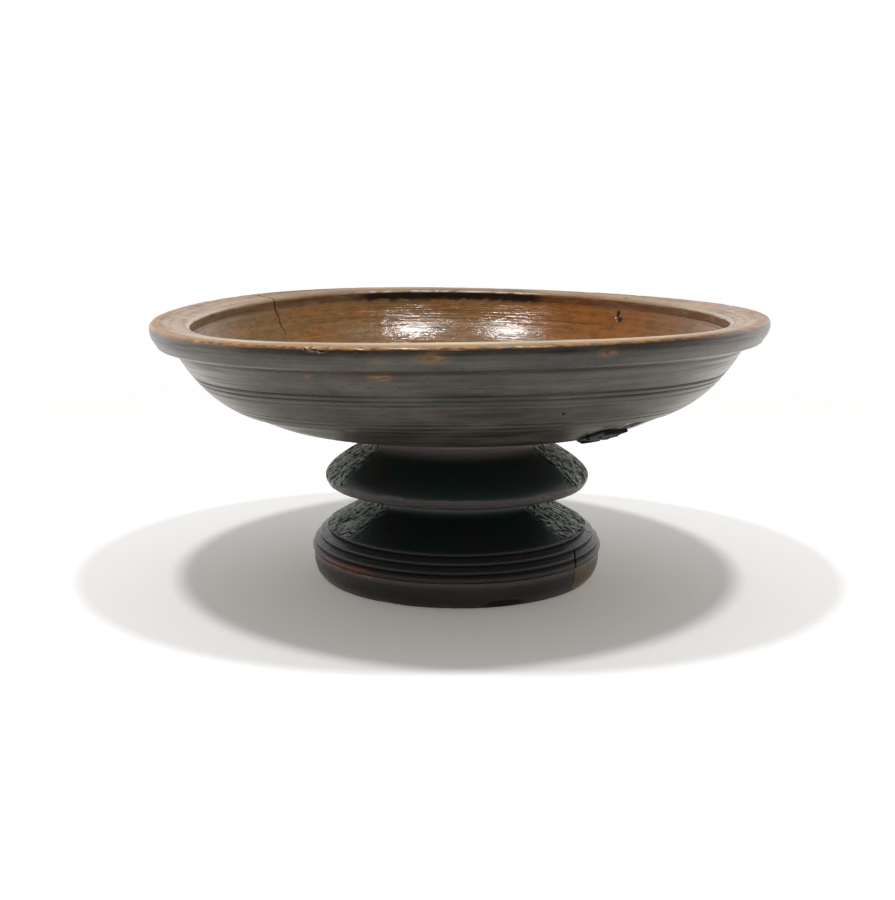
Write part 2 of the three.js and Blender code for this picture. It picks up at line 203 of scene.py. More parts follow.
def arc(centre: Pair, radius: float, start: float, end: float, count: int = 12) -> Array:
    """Points of an arc between two angles in degrees, counted from outwards towards up."""
    angles = np.radians(np.linspace(start, end, count))
    return np.column_stack([centre[0] + radius * np.cos(angles), centre[1] + radius * np.sin(angles)])


def offset(line: Array, inward: float) -> Array:
    """A line moved sideways.

    Args:
        line: Its points.
        inward: How far it goes to the left, as seen along it.

    Returns:
        The moved line's points.
    """
    ahead = np.gradient(line, axis=0)
    ahead /= np.hypot(*ahead.T)[:, None]
    return line + inward * np.column_stack([-ahead[:, 1], ahead[:, 0]])


def eased(line: Array, after: Pair, reach: float) -> Array:
    """Rounds off the corner at the end of a line.

    Args:
        line: Points up to the corner.
        after: Where the outline goes next.
        reach: How far on each side of the corner the rounding starts.

    Returns:
        The line with its rounding, which ends on the way to the next point.
    """
    corner = line[-1]
    kept = line[np.hypot(*(line - corner).T) > reach]
    onward = np.asarray(after, float) - corner
    far = corner + onward * reach / np.hypot(*onward)
    return np.vstack([kept, bezier(kept[-1], 0.6 * (corner - kept[-1]), 0.6 * (corner - far), far, 12)])


class Outline:
    """A turned outline as points of radius and height, walked with the wood on its left."""

    FINE_STEP = 0.35
    FINE_REACH = 1.4

    def __init__(self, radius: float, height: float) -> None:
        """Starts the outline at one point."""
        self.points = [np.array([radius, height])]
        self.marks: dict[str, int] = {}

    def follow(self, line: Array, step: float, fine: tuple[float, ...] = ()) -> "Outline":
        """Walks along a line.

        Args:
            line: Its points.
            step: The distance between the outline's own points.
            fine: Radii near which the points lie closer together.

        Returns:
            The outline itself.
        """
        line = np.vstack([self.points[-1], line])
        path = np.concatenate([[0], np.cumsum(np.hypot(*np.diff(line, axis=0).T))])
        stops = [0.0]
        while stops[-1] < path[-1]:
            radius = np.interp(stops[-1], path, line[:, 0])
            near = any(abs(radius - spot) < self.FINE_REACH for spot in fine)
            stops.append(stops[-1] + (self.FINE_STEP if near else step))
        places = np.array(stops[1:]) * path[-1] / stops[-1]
        self.points += list(np.column_stack([np.interp(places, path, line[:, k]) for k in (0, 1)]))
        return self

    def to(self, radius: float, height: float, step: float) -> "Outline":
        """Goes straight to a point."""
        return self.follow(np.array([[radius, height]]), step)

    def mark(self, name: str) -> "Outline":
        """Names the place that the outline has come to."""
        self.marks[name] = len(self.points) - 1
        return self


def angles_between(
    start: float,
    end: float,
    step: float,
    fine: tuple[Triple, ...] = (),
) -> Array:
    """Angles round a piece.

    Args:
        start: First angle in degrees.
        end: Last angle in degrees.
        step: Degrees from one to the next.
        fine: Stretches with closer angles, each as its middle, its half width and its step.

    Returns:
        The angles in radians, with both ends.
    """
    angles = [start]
    while angles[-1] < end:
        here = math.radians(angles[-1])
        steps = [close for middle, half, close in fine if abs(turn_from(here, middle)) < half]
        angles.append(angles[-1] + min([step, *steps]))
    spread = np.array(angles)
    return np.radians(start + (spread - start) * (end - start) / (spread[-1] - start))


# Wood that has moved since it was turned


@dataclass(frozen=True)
class WoodMovement:
    """How seasoning has moved the pieces, as in the CAD model."""

    held_radius: float = 16.3  # the spindle keeps the wood round up to here
    free_radius: float = 52.0
    seat_radius: float = 54.5
    rim_radius: float = 180.0  # the move is worked out for this nominal radius
    loose_share: float = 0.75  # share of the rim's radius from which the bowl has moved in full
    wall_share: float = 0.9  # and up to which its wall sags in full
    bowl_shrinkage: float = 0.036
    tilt_right: float = 1.7
    twist: float = 1.5
    saddle: float = 1.0
    ripple_side: float = -0.3
    ripple_front: float = 0.45
    sag: float = 2.8

    def shrink(self, amount: float) -> Callable[[Array], Array]:
        """The move of a pedestal piece.

        Args:
            amount: The share of its width across the grain that it has lost.

        Returns:
            A function that takes the spots as turned and gives them as moved.
        """

        def move(spots: Array) -> Array:
            """Narrows a piece front to back, less so close to the spindle.

            Args:
                spots: The piece's spots as turned.

            Returns:
                The spots as moved.
            """
            free = rise(np.hypot(spots[:, 0], spots[:, 1]), self.held_radius, self.free_radius)
            moved = spots.copy()
            moved[:, 1] *= 1 - amount * free
            return moved

        return move

    def warp(self, spots: Array) -> Array:
        """Shrinks the bowl, leans, twists and ripples its rim, and lets the ends of its wall sag.

        Args:
            spots: The bowl's spots as turned.

        Returns:
            The spots as moved.
        """
        radius = np.hypot(spots[:, 0], spots[:, 1])
        angle = np.arctan2(spots[:, 0], -spots[:, 1])
        away = rise(radius, self.seat_radius, self.loose_share * self.rim_radius)
        span = (radius / self.rim_radius) ** 2 * away
        below = 1 - rise(radius, self.wall_share * self.rim_radius, self.rim_radius)
        lean = self.tilt_right * np.sin(angle)
        turn = self.twist * np.sin(2 * angle) + self.saddle * np.cos(2 * angle)
        ripple = self.ripple_side * np.sin(3 * angle) + self.ripple_front * np.cos(3 * angle)
        drop = self.sag * away * below * np.sin(angle) ** 2
        moved = spots.copy()
        moved[:, 0] += BOWL_DRIFT * away
        moved[:, 1] *= 1 - self.bowl_shrinkage * away
        moved[:, 2] += span * (lean + turn + ripple) - drop
        return moved


# Skins: the surfaces of turned pieces


class Skin:
    """A turned surface before the wood moved, with a row of spots for each angle."""

    SHORTEST = 1e-9  # keeps a step of no length from dividing by zero
    SHARP_CORNER = 50  # degrees from which an edge isn't shaded smooth

    def __init__(self, outline: Outline, angles: Array, whole: bool = True) -> None:
        """Lays the grid.

        Args:
            outline: What is turned. Where its ends meet, the skin closes there.
            angles: In radians.
            whole: True if the last angle is a full turn past the first.
        """
        line = np.array(outline.points)
        ahead = np.gradient(line, axis=0)
        ahead /= np.maximum(np.hypot(*ahead.T), self.SHORTEST)[:, None]
        self.whole = whole
        self.marks = outline.marks
        self.angle = (angles[:-1] if whole else angles)[:, None]
        self.radius, self.height = line.T
        self.path = np.concatenate([[0], np.cumsum(np.hypot(*np.diff(line, axis=0).T))])
        self.outward = np.column_stack([ahead[:, 1], -ahead[:, 0]])
        self.sunk = np.zeros((len(self.angle), len(line)))
        self.masks = {paint: np.zeros_like(self.sunk) for paint in Paint}

    @property
    def spots(self) -> Array:
        """Where each spot was turned."""
        flat = [self.radius * np.sin(self.angle), -self.radius * np.cos(self.angle)]
        return np.stack([*flat, self.height + 0 * self.angle], axis=-1)

    def path_at(self, mark: str) -> float:
        """How far along the outline a marked place lies."""
        return self.path[self.marks[mark]]

    def between(self, first: str, last: str, soft: float = 1.0) -> Array:
        """A mask of the stretch from one mark to another, with soft ends."""
        start, end = self.path_at(first), self.path_at(last)
        return rise(self.path, start - soft, start + soft) * rise(self.path, end + soft, end - soft)

    def path_for(self, radius: float, first: str, last: str) -> float:
        """Finds where a stretch of the outline has a radius.

        Args:
            radius: The radius that is looked for.
            first: The mark where the stretch starts.
            last: The mark where it ends.

        Returns:
            How far along the outline the place lies.
        """
        low, high = self.marks[first], self.marks[last] + 1
        order = np.argsort(self.radius[low:high])
        return float(np.interp(radius, self.radius[low:high][order], self.path[low:high][order]))

    def sink(self, depth: Array) -> None:
        """Presses the skin in by a depth."""
        self.sunk = self.sunk + depth

    def paint(self, paint: Paint, values: Array) -> None:
        """Adds to a mask, where the values are greater than what it holds."""
        self.masks[paint] = np.maximum(self.masks[paint], np.clip(values, 0, 1) + 0 * self.sunk)

    def near(self, degrees: float, path: float, across: float, along: float, flat: float = 0.0) -> Array:
        """A soft oval mask on the skin.

        Args:
            degrees: Angle of its middle.
            path: How far along the outline its middle lies.
            across: Its half width round the piece.
            along: Its half width along the outline.
            flat: Share of its half widths over which it stays at 1.

        Returns:
            The mask, from 0 to 1.
        """
        side = np.radians(turn_from(self.angle, degrees)) * self.radius / across
        ahead = (self.path - path) / along
        return rise(np.hypot(side, ahead), 1, flat)

    def build(self, name: str, move: Callable[[Array], Array]) -> bpy.types.Object:
        """Makes the mesh.

        Args:
            name: Name of the piece.
            move: How the wood has moved since it was turned.

        Returns:
            The new object, in metres, with its masks as attributes.
        """
        radius = self.radius - self.sunk * self.outward[:, 0]
        height = self.height - self.sunk * self.outward[:, 1]
        spots = np.stack([radius * np.sin(self.angle), -radius * np.cos(self.angle), height], axis=-1)
        rows, columns = self.sunk.shape
        index = np.arange(rows * columns).reshape(rows, columns)
        for end in (0, -1):
            if self.radius[end] == 0:
                index[:, end] = index[0, end]
        closed = np.allclose([self.radius[0], self.height[0]], [self.radius[-1], self.height[-1]])
        if closed:
            index[:, -1] = index[:, 0]
        following = np.roll(index, -1, axis=0)
        last = rows if self.whole else rows - 1
        corners = [index[:last, :-1], following[:last, :-1], following[:last, 1:], index[:last, 1:]]
        faces = [list(dict.fromkeys(face)) for face in np.stack(corners, axis=-1).reshape(-1, 4).tolist()]
        if not self.whole:
            faces.append(index[0, :-1].tolist())
            faces.append(index[-1, -2::-1].tolist())
        used = np.unique(index)
        renumber = {old: new for new, old in enumerate(used.tolist())}
        faces = [[renumber[corner] for corner in face] for face in faces]
        moved = move(spots.reshape(-1, 3)[used])
        moved[:, 0] -= BOWL_DRIFT
        mesh = bpy.data.meshes.new(name)
        mesh.from_pydata((moved * MM).tolist(), [], faces)
        turned = np.stack([part + 0 * self.sunk for part in (self.radius, self.height, self.path)], axis=-1)
        layer = mesh.attributes.new("turned", "FLOAT_VECTOR", "POINT")
        layer.data.foreach_set("vector", turned.reshape(-1, 3)[used].ravel())
        for paint, mask in self.masks.items():
            layer = mesh.attributes.new(paint.value, "FLOAT", "POINT")
            layer.data.foreach_set("value", mask.ravel()[used])
        mesh.shade_smooth()
        mesh.set_sharp_from_angle(angle=math.radians(self.SHARP_CORNER))
        piece = bpy.data.objects.new(name, mesh)
        bpy.context.scene.collection.objects.link(piece)
        return piece


def stand_for(piece: bpy.types.Object, node: str, finish: bpy.types.Material) -> None:
    """Puts a new piece in the place of a CAD node.

    Args:
        piece: The new piece.
        node: The CAD node that it stands for.
        finish: Its material.
    """
    piece.data.materials.append(finish)
    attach(piece, BODY)
    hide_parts(node)
    log.info("%s: %d faces", piece.name, len(piece.data.polygons))


def dress_node(node: str, finish: bpy.types.Material) -> None:
    """Gives its finish to a CAD node that stays.

    Args:
        node: Its name.
        finish: Its material.
    """
    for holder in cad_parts[node].material_slots:
        holder.material = finish
    log.info("%s: kept from the frame", node)


# Shader maths


class Signal:
    """A value, a colour or a vector in a finish, which ordinary operators act on."""

    def __init__(self, recipe: "Recipe", socket: bpy.types.NodeSocket) -> None:
        """Holds an output socket and the recipe that it belongs to."""
        self.recipe = recipe
        self.socket = socket

    def _join(self, operation: str, first: object, second: object) -> "Signal":
        """Adds a Math node, or a Vector Math node where this signal is a vector or a colour."""
        kind = "ShaderNodeMath" if self.socket.type == "VALUE" else "ShaderNodeVectorMath"
        return self.recipe.node(kind, {"operation": operation}, {0: first, 1: second})

    def __add__(self, other: object) -> "Signal":
        """self + other."""
        return self._join("ADD", self, other)

    __radd__ = __add__

    def __sub__(self, other: object) -> "Signal":
        """self - other."""
        return self._join("SUBTRACT", self, other)

    def __rsub__(self, other: object) -> "Signal":
        """other - self."""
        return self._join("SUBTRACT", other, self)

    def __mul__(self, other: object) -> "Signal":
        """self * other."""
        return self._join("MULTIPLY", self, other)

    __rmul__ = __mul__

    def __truediv__(self, other: object) -> "Signal":
        """self / other."""
        return self._join("DIVIDE", self, other)


class Recipe:
    """A node tree in the making, with the patterns that the finishes share. Lengths are in millimetres."""

    def __init__(self, tree: bpy.types.NodeTree) -> None:
        """Empties the tree."""
        self.tree = tree
        tree.nodes.clear()

    def node(
        self,
        kind: str,
        settings: dict | None = None,
        inputs: dict | None = None,
        output: str | int | None = 0,
    ) -> Signal | None:
        """Adds a node.

        Args:
            kind: The node's type.
            settings: Its properties, which are set first.
            inputs: A number, a colour or a signal for sockets, by name or place.
            output: The output that is wanted, by name or place, or None for a node that has none.

        Returns:
            That output.
        """
        made = self.tree.nodes.new(kind)
        for name, value in (settings or {}).items():
            setattr(made, name, value)
        for name, value in (inputs or {}).items():
            socket = self._socket(made.inputs, name)
            if isinstance(value, Signal):
                self.tree.links.new(value.socket, socket)
            else:
                socket.default_value = value
        return None if output is None else Signal(self, self._socket(made.outputs, output))

    @staticmethod
    def _socket(sockets: bpy.types.bpy_prop_collection, name: str | int) -> bpy.types.NodeSocket:
        """Finds a socket.

        Args:
            sockets: A node's inputs or outputs.
            name: The socket's place, or its name, which counts where the node's settings leave it in use.

        Returns:
            The socket.
        """
        if isinstance(name, int):
            return sockets[name]
        return next(socket for socket in sockets if socket.name == name and socket.enabled)

    def place(self) -> Signal:
        """Where a point of the piece lies."""
        return self.node("ShaderNodeTexCoord", output="Object") * (1 / MM, 1 / MM, 1 / MM)

    def painted(self, paint: Paint) -> Signal:
        """One of the mesh's masks."""
        return self.node("ShaderNodeAttribute", {"attribute_name": paint.value}, output="Fac")

    def turned(self, axis: str) -> Signal:
        """X is the radius that a point was turned at, Y its height and Z the distance along the outline."""
        held = self.node("ShaderNodeAttribute", {"attribute_name": "turned"}, output="Vector")
        return self.part(held, axis)

    def part(self, vector: Signal, axis: str) -> Signal:
        """One coordinate of a vector."""
        return self.node("ShaderNodeSeparateXYZ", inputs={0: vector}, output=axis)

    def rise(self, value: Signal, low: float, high: float) -> Signal:
        """A smooth step from 0 at low to 1 at high."""
        ends = {"Value": value, "From Min": low, "From Max": high}
        return self.node("ShaderNodeMapRange", {"interpolation_type": "SMOOTHSTEP"}, ends, "Result")

    def noise(self, spot: Signal, sizes: Triple, detail: float) -> Signal:
        """Cloudy noise about 0.5, with the size of its clouds along each axis."""
        scaled = spot * tuple(1 / size for size in sizes)
        return self.node("ShaderNodeTexNoise", inputs={"Vector": scaled, "Scale": 1.0, "Detail": detail})

    def cells(self, spot: Signal, sizes: Triple) -> Signal:
        """Distance from the nearest of scattered points, in shares of the cells' sizes."""
        scaled = spot * tuple(1 / size for size in sizes)
        return self.node("ShaderNodeTexVoronoi", inputs={"Vector": scaled, "Scale": 1.0}, output="Distance")

    def rings(self, mark: Pair, detail: float) -> Signal:
        """Marks of the turning tool: noise drawn out round the axis.

        Args:
            mark: How many degrees one mark runs, and how wide it is along the outline.
            detail: How many finer layers the noise has.

        Returns:
            The noise, about 0.5.
        """
        degrees, width = mark
        flat = self.place() * (1.0, 1.0, 0.0)
        around = self.node("ShaderNodeVectorMath", {"operation": "NORMALIZE"}, {0: flat})
        around = around * (math.degrees(1) / degrees, math.degrees(1) / degrees, 0.0)
        along = self.turned("Z") / width
        along = self.node("ShaderNodeCombineXYZ", inputs={"X": 0.0, "Y": 0.0, "Z": along})
        return self.noise(around + along, (1, 1, 1), detail)

    def mix(self, share: object, first: object, second: object) -> Signal:
        """A colour between two."""
        inputs = {"Factor": share, "A": first, "B": second}
        return self.node("ShaderNodeMix", {"data_type": "RGBA", "clamp_factor": True}, inputs, "Result")

    def bump(self, height: Signal) -> Signal:
        """The normal of a surface that has this height."""
        return self.node("ShaderNodeBump", inputs={"Strength": 1.0, "Distance": MM, "Height": height})


def colour(text: str) -> tuple[float, float, float, float]:
    """A colour in the linear form that Blender works in, by the sRGB standard's curve.

    Args:
        text: The colour as RRGGBB.

    Returns:
        Its red, green, blue and alpha.
    """
    parts = [int(text[i : i + 2], 16) / 255 for i in (0, 2, 4)]
    linear = [part / 12.92 if part <= 0.04045 else ((part + 0.055) / 1.055) ** 2.4 for part in parts]
    return (*linear, 1.0)


# Finishes


@dataclass(frozen=True)
class Finish:
    """What every finish has in common: one shader, with the values that are the same all over."""

    name: str = "finish"
    shine: float = 0.5
    coat_roughness: float = 0.15

    def material(self) -> bpy.types.Material:
        """Makes the material."""
        made = bpy.data.materials.new(self.name)
        made.use_nodes = True
        recipe = Recipe(made.node_tree)
        inputs = {"Specular IOR Level": self.shine, "Coat Roughness": self.coat_roughness}
        shader = recipe.node("ShaderNodeBsdfPrincipled", inputs=inputs | self.surface(recipe))
        recipe.node("ShaderNodeOutputMaterial", inputs={"Surface": shader}, output=None)
        return made

    def surface(self, recipe: Recipe) -> dict:
        """The sockets that change over the surface, and what feeds them."""
        raise NotImplementedError


@dataclass(frozen=True)
class DishWood(Finish):
    """Old polished wood: dark outside, orange-brown inside, tan on top of the rim."""

    name: str = "bowl_wood"
    coat_roughness: float = 0.16
    roughness: float = 0.36
    cloud_size: Triple = (34, 34, 14)
    grain_size: Triple = (38, 1.6, 1.6)
    mottle_size: Triple = (8, 8, 4)
    pore_size: Triple = (9, 1.3, 1.3)
    red_size: Triple = (16, 16, 5)
    warm_size: Triple = (26, 20, 9)
    speckle_size: Triple = (4, 4, 1.5)
    broad_mark: Pair = (28, 5.0)
    fine_mark: Pair = (20, 1.5)
    outside_dark: str = "231f1a"
    outside_light: str = "585548"
    outside_red: str = "452b20"
    outside_sheen: str = "d4d2c9"
    sheen_start: float = 95.0  # across X, from where the outside and the rim's top get a painted sheen
    sheen_full: float = 172.0
    band_base: float = 144.0  # the height from which the band takes less of the painted sheen at the ends
    warm_start: Pair = (20, 65)  # across X, where the dish's warmest stretch comes in
    warm_end: Pair = (100, 135)  # and where it goes
    rubbed: str = "b27a2e"
    # bare wood, and also the colour of painted highlights and painted light along the rim
    pale: str = "d2c5ad"
    rim_brown: str = "694a32"
    rim_pale: str = "a8845d"
    rim_sheen: str = "b8a496"
    inside_orange: str = "9f6022"
    inside_olive: str = "86683d"
    inside_dark: str = "4a371e"
    dirt_and_shade: str = "0f0a07"

    def outside(self, recipe: Recipe, streak: Signal, painted_sheen: Signal) -> Signal:
        """The dark outside, reddish in clouds, with a painted sheen towards its left and right ends.

        Args:
            recipe: The material's node tree.
            streak: Where the lighter streaks lie.
            painted_sheen: How much painted sheen the left and right ends get.

        Returns:
            Its colour.
        """
        base = recipe.mix(streak, colour(self.outside_dark), colour(self.outside_light))
        reddish = recipe.rise(recipe.noise(recipe.place(), self.red_size, 3), 0.52, 0.7)
        base = recipe.mix(reddish * 0.5, base, colour(self.outside_red))
        band = recipe.rise(recipe.turned("Y"), self.band_base, self.band_base + 1)
        # painted sheen towards the left and right ends, with less of it on the band
        return recipe.mix(painted_sheen * (1 - band * 0.7), base, colour(self.outside_sheen))

    def inside(self, recipe: Recipe, worn: Signal) -> Signal:
        """The dish's inner face, from olive to orange.

        Args:
            recipe: The material's node tree.
            worn: Where it has gone darker.

        Returns:
            Its colour.
        """
        spot = recipe.place()
        across = recipe.part(spot, "X")
        warmest = recipe.rise(across, *self.warm_start) * (1 - recipe.rise(across, *self.warm_end))
        clouds = recipe.noise(spot, self.warm_size, 5)
        warmth = warmest * 0.14 + across * 0.0005 + clouds * 0.7 + 0.11
        orange = recipe.rise(warmth, 0.26, 0.76)
        base = recipe.mix(orange, colour(self.inside_olive), colour(self.inside_orange))
        return recipe.mix(worn * 0.6, base, colour(self.inside_dark))

    def aged(self, recipe: Recipe, base: Signal, streak: Signal, pits: Signal) -> Signal:
        """What wear, grime, painted shade and painted highlights make of a colour.

        Args:
            recipe: The material's node tree.
            base: The colour so far.
            streak: Where the lighter streaks lie.
            pits: How much grime is caught in pores and tool marks.

        Returns:
            The aged colour.
        """
        speckle = recipe.rise(recipe.noise(recipe.place(), self.speckle_size, 5), 0.38, 0.62)
        base = recipe.mix(recipe.painted(Paint.RUBBED) * (0.3 + speckle), base, colour(self.rubbed))
        # pale for scraped wood, and for painted highlights and painted light along the rim, its bead, the
        # band's edge and the lip
        base = recipe.mix(recipe.painted(Paint.PALE) * (0.55 + streak * 0.45), base, colour(self.pale))
        base = recipe.mix(pits, base, colour(self.dirt_and_shade))
        # dark for cracks, holes and trapped dirt, and for painted shade under the rim's edge, the ledge and
        # the lip and in the broken hollow
        return recipe.mix(recipe.painted(Paint.DARK), base, colour(self.dirt_and_shade))

    def surface(self, recipe: Recipe) -> dict:
        """Streaks of the grain and rings of the tool, over the colours of the three faces.

        Args:
            recipe: The material's node tree.

        Returns:
            What feeds each socket.
        """
        spot = recipe.place()
        clouds = recipe.noise(spot, self.cloud_size, 4)
        grain = recipe.noise(spot, self.grain_size, 3)
        mottle = recipe.noise(spot, self.mottle_size, 5)
        broad = recipe.rings(self.broad_mark, 3)
        fine = recipe.rings(self.fine_mark, 3)
        pores = 1 - recipe.rise(recipe.cells(spot, self.pore_size), 0.10, 0.22)
        streak = recipe.rise(broad * 0.35 + clouds * 0.3 + grain * 0.1 + fine * 0.25, 0.38, 0.62)
        across = recipe.part(spot, "X")
        # the left and right ends across X, which get a painted sheen on the outside and the rim's top
        ends = recipe.rise(across * across, self.sheen_start**2, self.sheen_full**2)
        painted_sheen = ends * recipe.rise(fine * 0.6 + broad * 0.4, 0.36, 0.62)
        worn = recipe.rise(mottle * 0.4 + fine * 0.35 + grain * 0.25, 0.38, 0.66)
        scuffed = recipe.rise(fine * 0.5 + mottle * 0.5, 0.4, 0.6)

        rim = recipe.mix(streak, colour(self.rim_brown), colour(self.rim_pale))
        # painted sheen on the rim's top towards its ends
        rim = recipe.mix(ends * (0.3 + scuffed * 0.55), rim, colour(self.rim_sheen))
        within = recipe.painted(Paint.INSIDE)
        handled = recipe.painted(Paint.HANDLED)
        base = recipe.mix(within, self.outside(recipe, streak, painted_sheen), self.inside(recipe, worn))
        base = recipe.mix(handled, base, rim)
        base = self.aged(recipe, base, streak, pores * 0.4 + recipe.rise(fine, 0.6, 0.8) * 0.3)

        dark = recipe.painted(Paint.DARK)
        rough = self.roughness + (broad - 0.5) * 0.3 + (clouds - 0.5) * 0.2
        rough = rough + handled * 0.2 - within * (1 - handled) * 0.15
        ripples = broad * 0.12 + fine * 0.12 + mottle * 0.18
        height = ripples * (0.7 + within * 1.5) + grain * 0.05 - pores * 0.12
        return {
            "Base Color": base,
            "Roughness": rough + dark * 0.5,
            "Coat Weight": (0.3 - within * 0.14) * (1 - handled) * (1 - dark),
            "Normal": recipe.bump(height),
        }


@dataclass(frozen=True)
class PedestalWood(Finish):
    """Near-black wood, smooth at the front and torn at the ends of the grain, where grey fibres carry
    painted silver glints.
    """

    name: str = "pedestal_wood"
    shine: float = 0.3
    coat_roughness: float = 0.12
    roughness: float = 0.34
    black: str = "263631"
    brown: str = "332d2e"
    # brown of smooth handled faces, made light enough to lift the collar under the bowl out of its shade as
    # painted light
    handled: str = "6a5d61"
    torn_grey_and_glint: str = "c0c7bb"
    rubbed: str = "8f4f26"
    dirt_and_shade: str = "060606"
    cloud_size: Triple = (26, 26, 12)
    fibre_size: Triple = (3.2, 0.6, 3.2)
    ragged_size: Triple = (6, 6, 1.6)
    broad_mark: Pair = (30, 3.0)
    fine_mark: Pair = (24, 0.8)

    def surface(self, recipe: Recipe) -> dict:
        """Rings of the tool, and pulled fibres where the grain ends.

        Args:
            recipe: The material's node tree.

        Returns:
            What feeds each socket.
        """
        spot = recipe.place()
        clouds = recipe.noise(spot, self.cloud_size, 4)
        broad = recipe.rings(self.broad_mark, 3)
        fine = recipe.rings(self.fine_mark, 2)
        fibres = recipe.noise(spot, self.fibre_size, 3)
        torn = recipe.painted(Paint.TORN)
        handled = recipe.painted(Paint.HANDLED)

        shade = recipe.rise(broad * 0.5 + clouds * 0.5, 0.44, 0.66)
        base = recipe.mix(shade, colour(self.black), colour(self.brown))
        # lighter brown of handled faces, which on the collar under the bowl is painted light
        base = recipe.mix(handled * (0.6 + fine * 0.6), base, colour(self.handled))
        # grey torn fibres with painted silver glints
        torn_glints = recipe.rise(torn * 0.8 + (fibres - 0.5) * 2.4, 0.3, 1.0)
        base = recipe.mix(torn_glints * torn, base, colour(self.torn_grey_and_glint))
        ragged = recipe.painted(Paint.RUBBED) + (recipe.noise(spot, self.ragged_size, 4) - 0.5) * 1.1
        base = recipe.mix(recipe.rise(ragged, 0.35, 0.85), base, colour(self.rubbed))
        # dark for pits, cracks and chips, painted shade in the reeds' grooves and under the disc's edge, and
        # darker towards the ring's sole
        dark = recipe.painted(Paint.DARK)
        base = recipe.mix(dark, base, colour(self.dirt_and_shade))

        rough = self.roughness + (clouds - 0.5) * 0.2 + torn * 0.08
        height = broad * 0.1 + fine * 0.06 + fibres * (0.08 + torn * 0.6)
        return {
            "Base Color": base,
            "Roughness": rough + dark * 0.4,
            "Coat Weight": (0.06 + handled * 0.7) * (1 - dark),
            "Normal": recipe.bump(height),
        }


@dataclass(frozen=True)
class RingWood(PedestalWood):
    """The ring's brown, rubbed to orange-red where it has been handled."""

    name: str = "ring_wood"
    shine: float = 0.5
    black: str = "2a2325"
    brown: str = "3f3433"
    rubbed: str = "b0602e"


@dataclass(frozen=True)
class InsertWood(PedestalWood):
    """The let-in length of the ring: paler yellow-brown wood, darker towards the floor."""

    name: str = "insert_wood"
    shine: float = 0.5
    black: str = "57482a"
    brown: str = "80693a"
    torn_grey_and_glint: str = "6a6448"


@dataclass(frozen=True)
class PatchWood(PedestalWood):
    """The proud sliver under the bowl, broken to grey at its end."""

    name: str = "patch_wood"
    shine: float = 0.12
    black: str = "0c0b0a"
    brown: str = "15120f"
    torn_grey_and_glint: str = "6e6a62"


@dataclass(frozen=True)
class JoineryWood(Finish):
    """Plain wood of the spindle, wedges and pegs, darkened by smoke and handling."""

    name: str = "joinery_wood"
    roughness: float = 0.6
    pale: str = "8a6b45"
    deep: str = "5b4126"
    end_dirt: str = "2b2019"
    grain_size: Triple = (1.2, 1.2, 24)
    cloud_size: Triple = (11, 11, 11)
    pore_size: Triple = (0.9, 0.9, 8)

    def surface(self, recipe: Recipe) -> dict:
        """Long grain along the upright axis, and grime in its pores.

        Args:
            recipe: The material's node tree.

        Returns:
            What feeds each socket.
        """
        spot = recipe.place()
        grain = recipe.noise(spot, self.grain_size, 4)
        clouds = recipe.noise(spot, self.cloud_size, 4)
        pores = 1 - recipe.rise(recipe.cells(spot, self.pore_size), 0.12, 0.3)
        base = recipe.mix(recipe.rise(grain, 0.36, 0.64), colour(self.deep), colour(self.pale))
        base = recipe.mix(recipe.rise(clouds, 0.5, 0.7) * 0.6 + pores * 0.5, base, colour(self.end_dirt))
        rough = self.roughness + (clouds - 0.5) * 0.2
        return {"Base Color": base, "Roughness": rough, "Normal": recipe.bump(grain * 0.15 - pores * 0.15)}


@dataclass(frozen=True)
class PinIron(Finish):
    """Hand-made iron pins, rusted."""

    name: str = "pin_iron"
    bare_roughness: float = 0.45
    bare_metal: float = 0.85
    iron: str = "1e1c1a"
    rust: str = "2e1f18"
    speck_size: Triple = (0.9, 0.9, 0.9)

    def surface(self, recipe: Recipe) -> dict:
        """Rust over dark iron, in specks.

        Args:
            recipe: The material's node tree.

        Returns:
            What feeds each socket.
        """
        specks = recipe.rise(recipe.noise(recipe.place(), self.speck_size, 4), 0.4, 0.6)
        base = recipe.mix(specks, colour(self.iron), colour(self.rust))
        return {
            "Base Color": base,
            "Metallic": self.bare_metal - specks * 0.7,
            "Roughness": self.bare_roughness + specks * 0.35,
            "Normal": recipe.bump(specks * 0.08),
        }


# Sub-assemblies


MOVEMENT = WoodMovement()


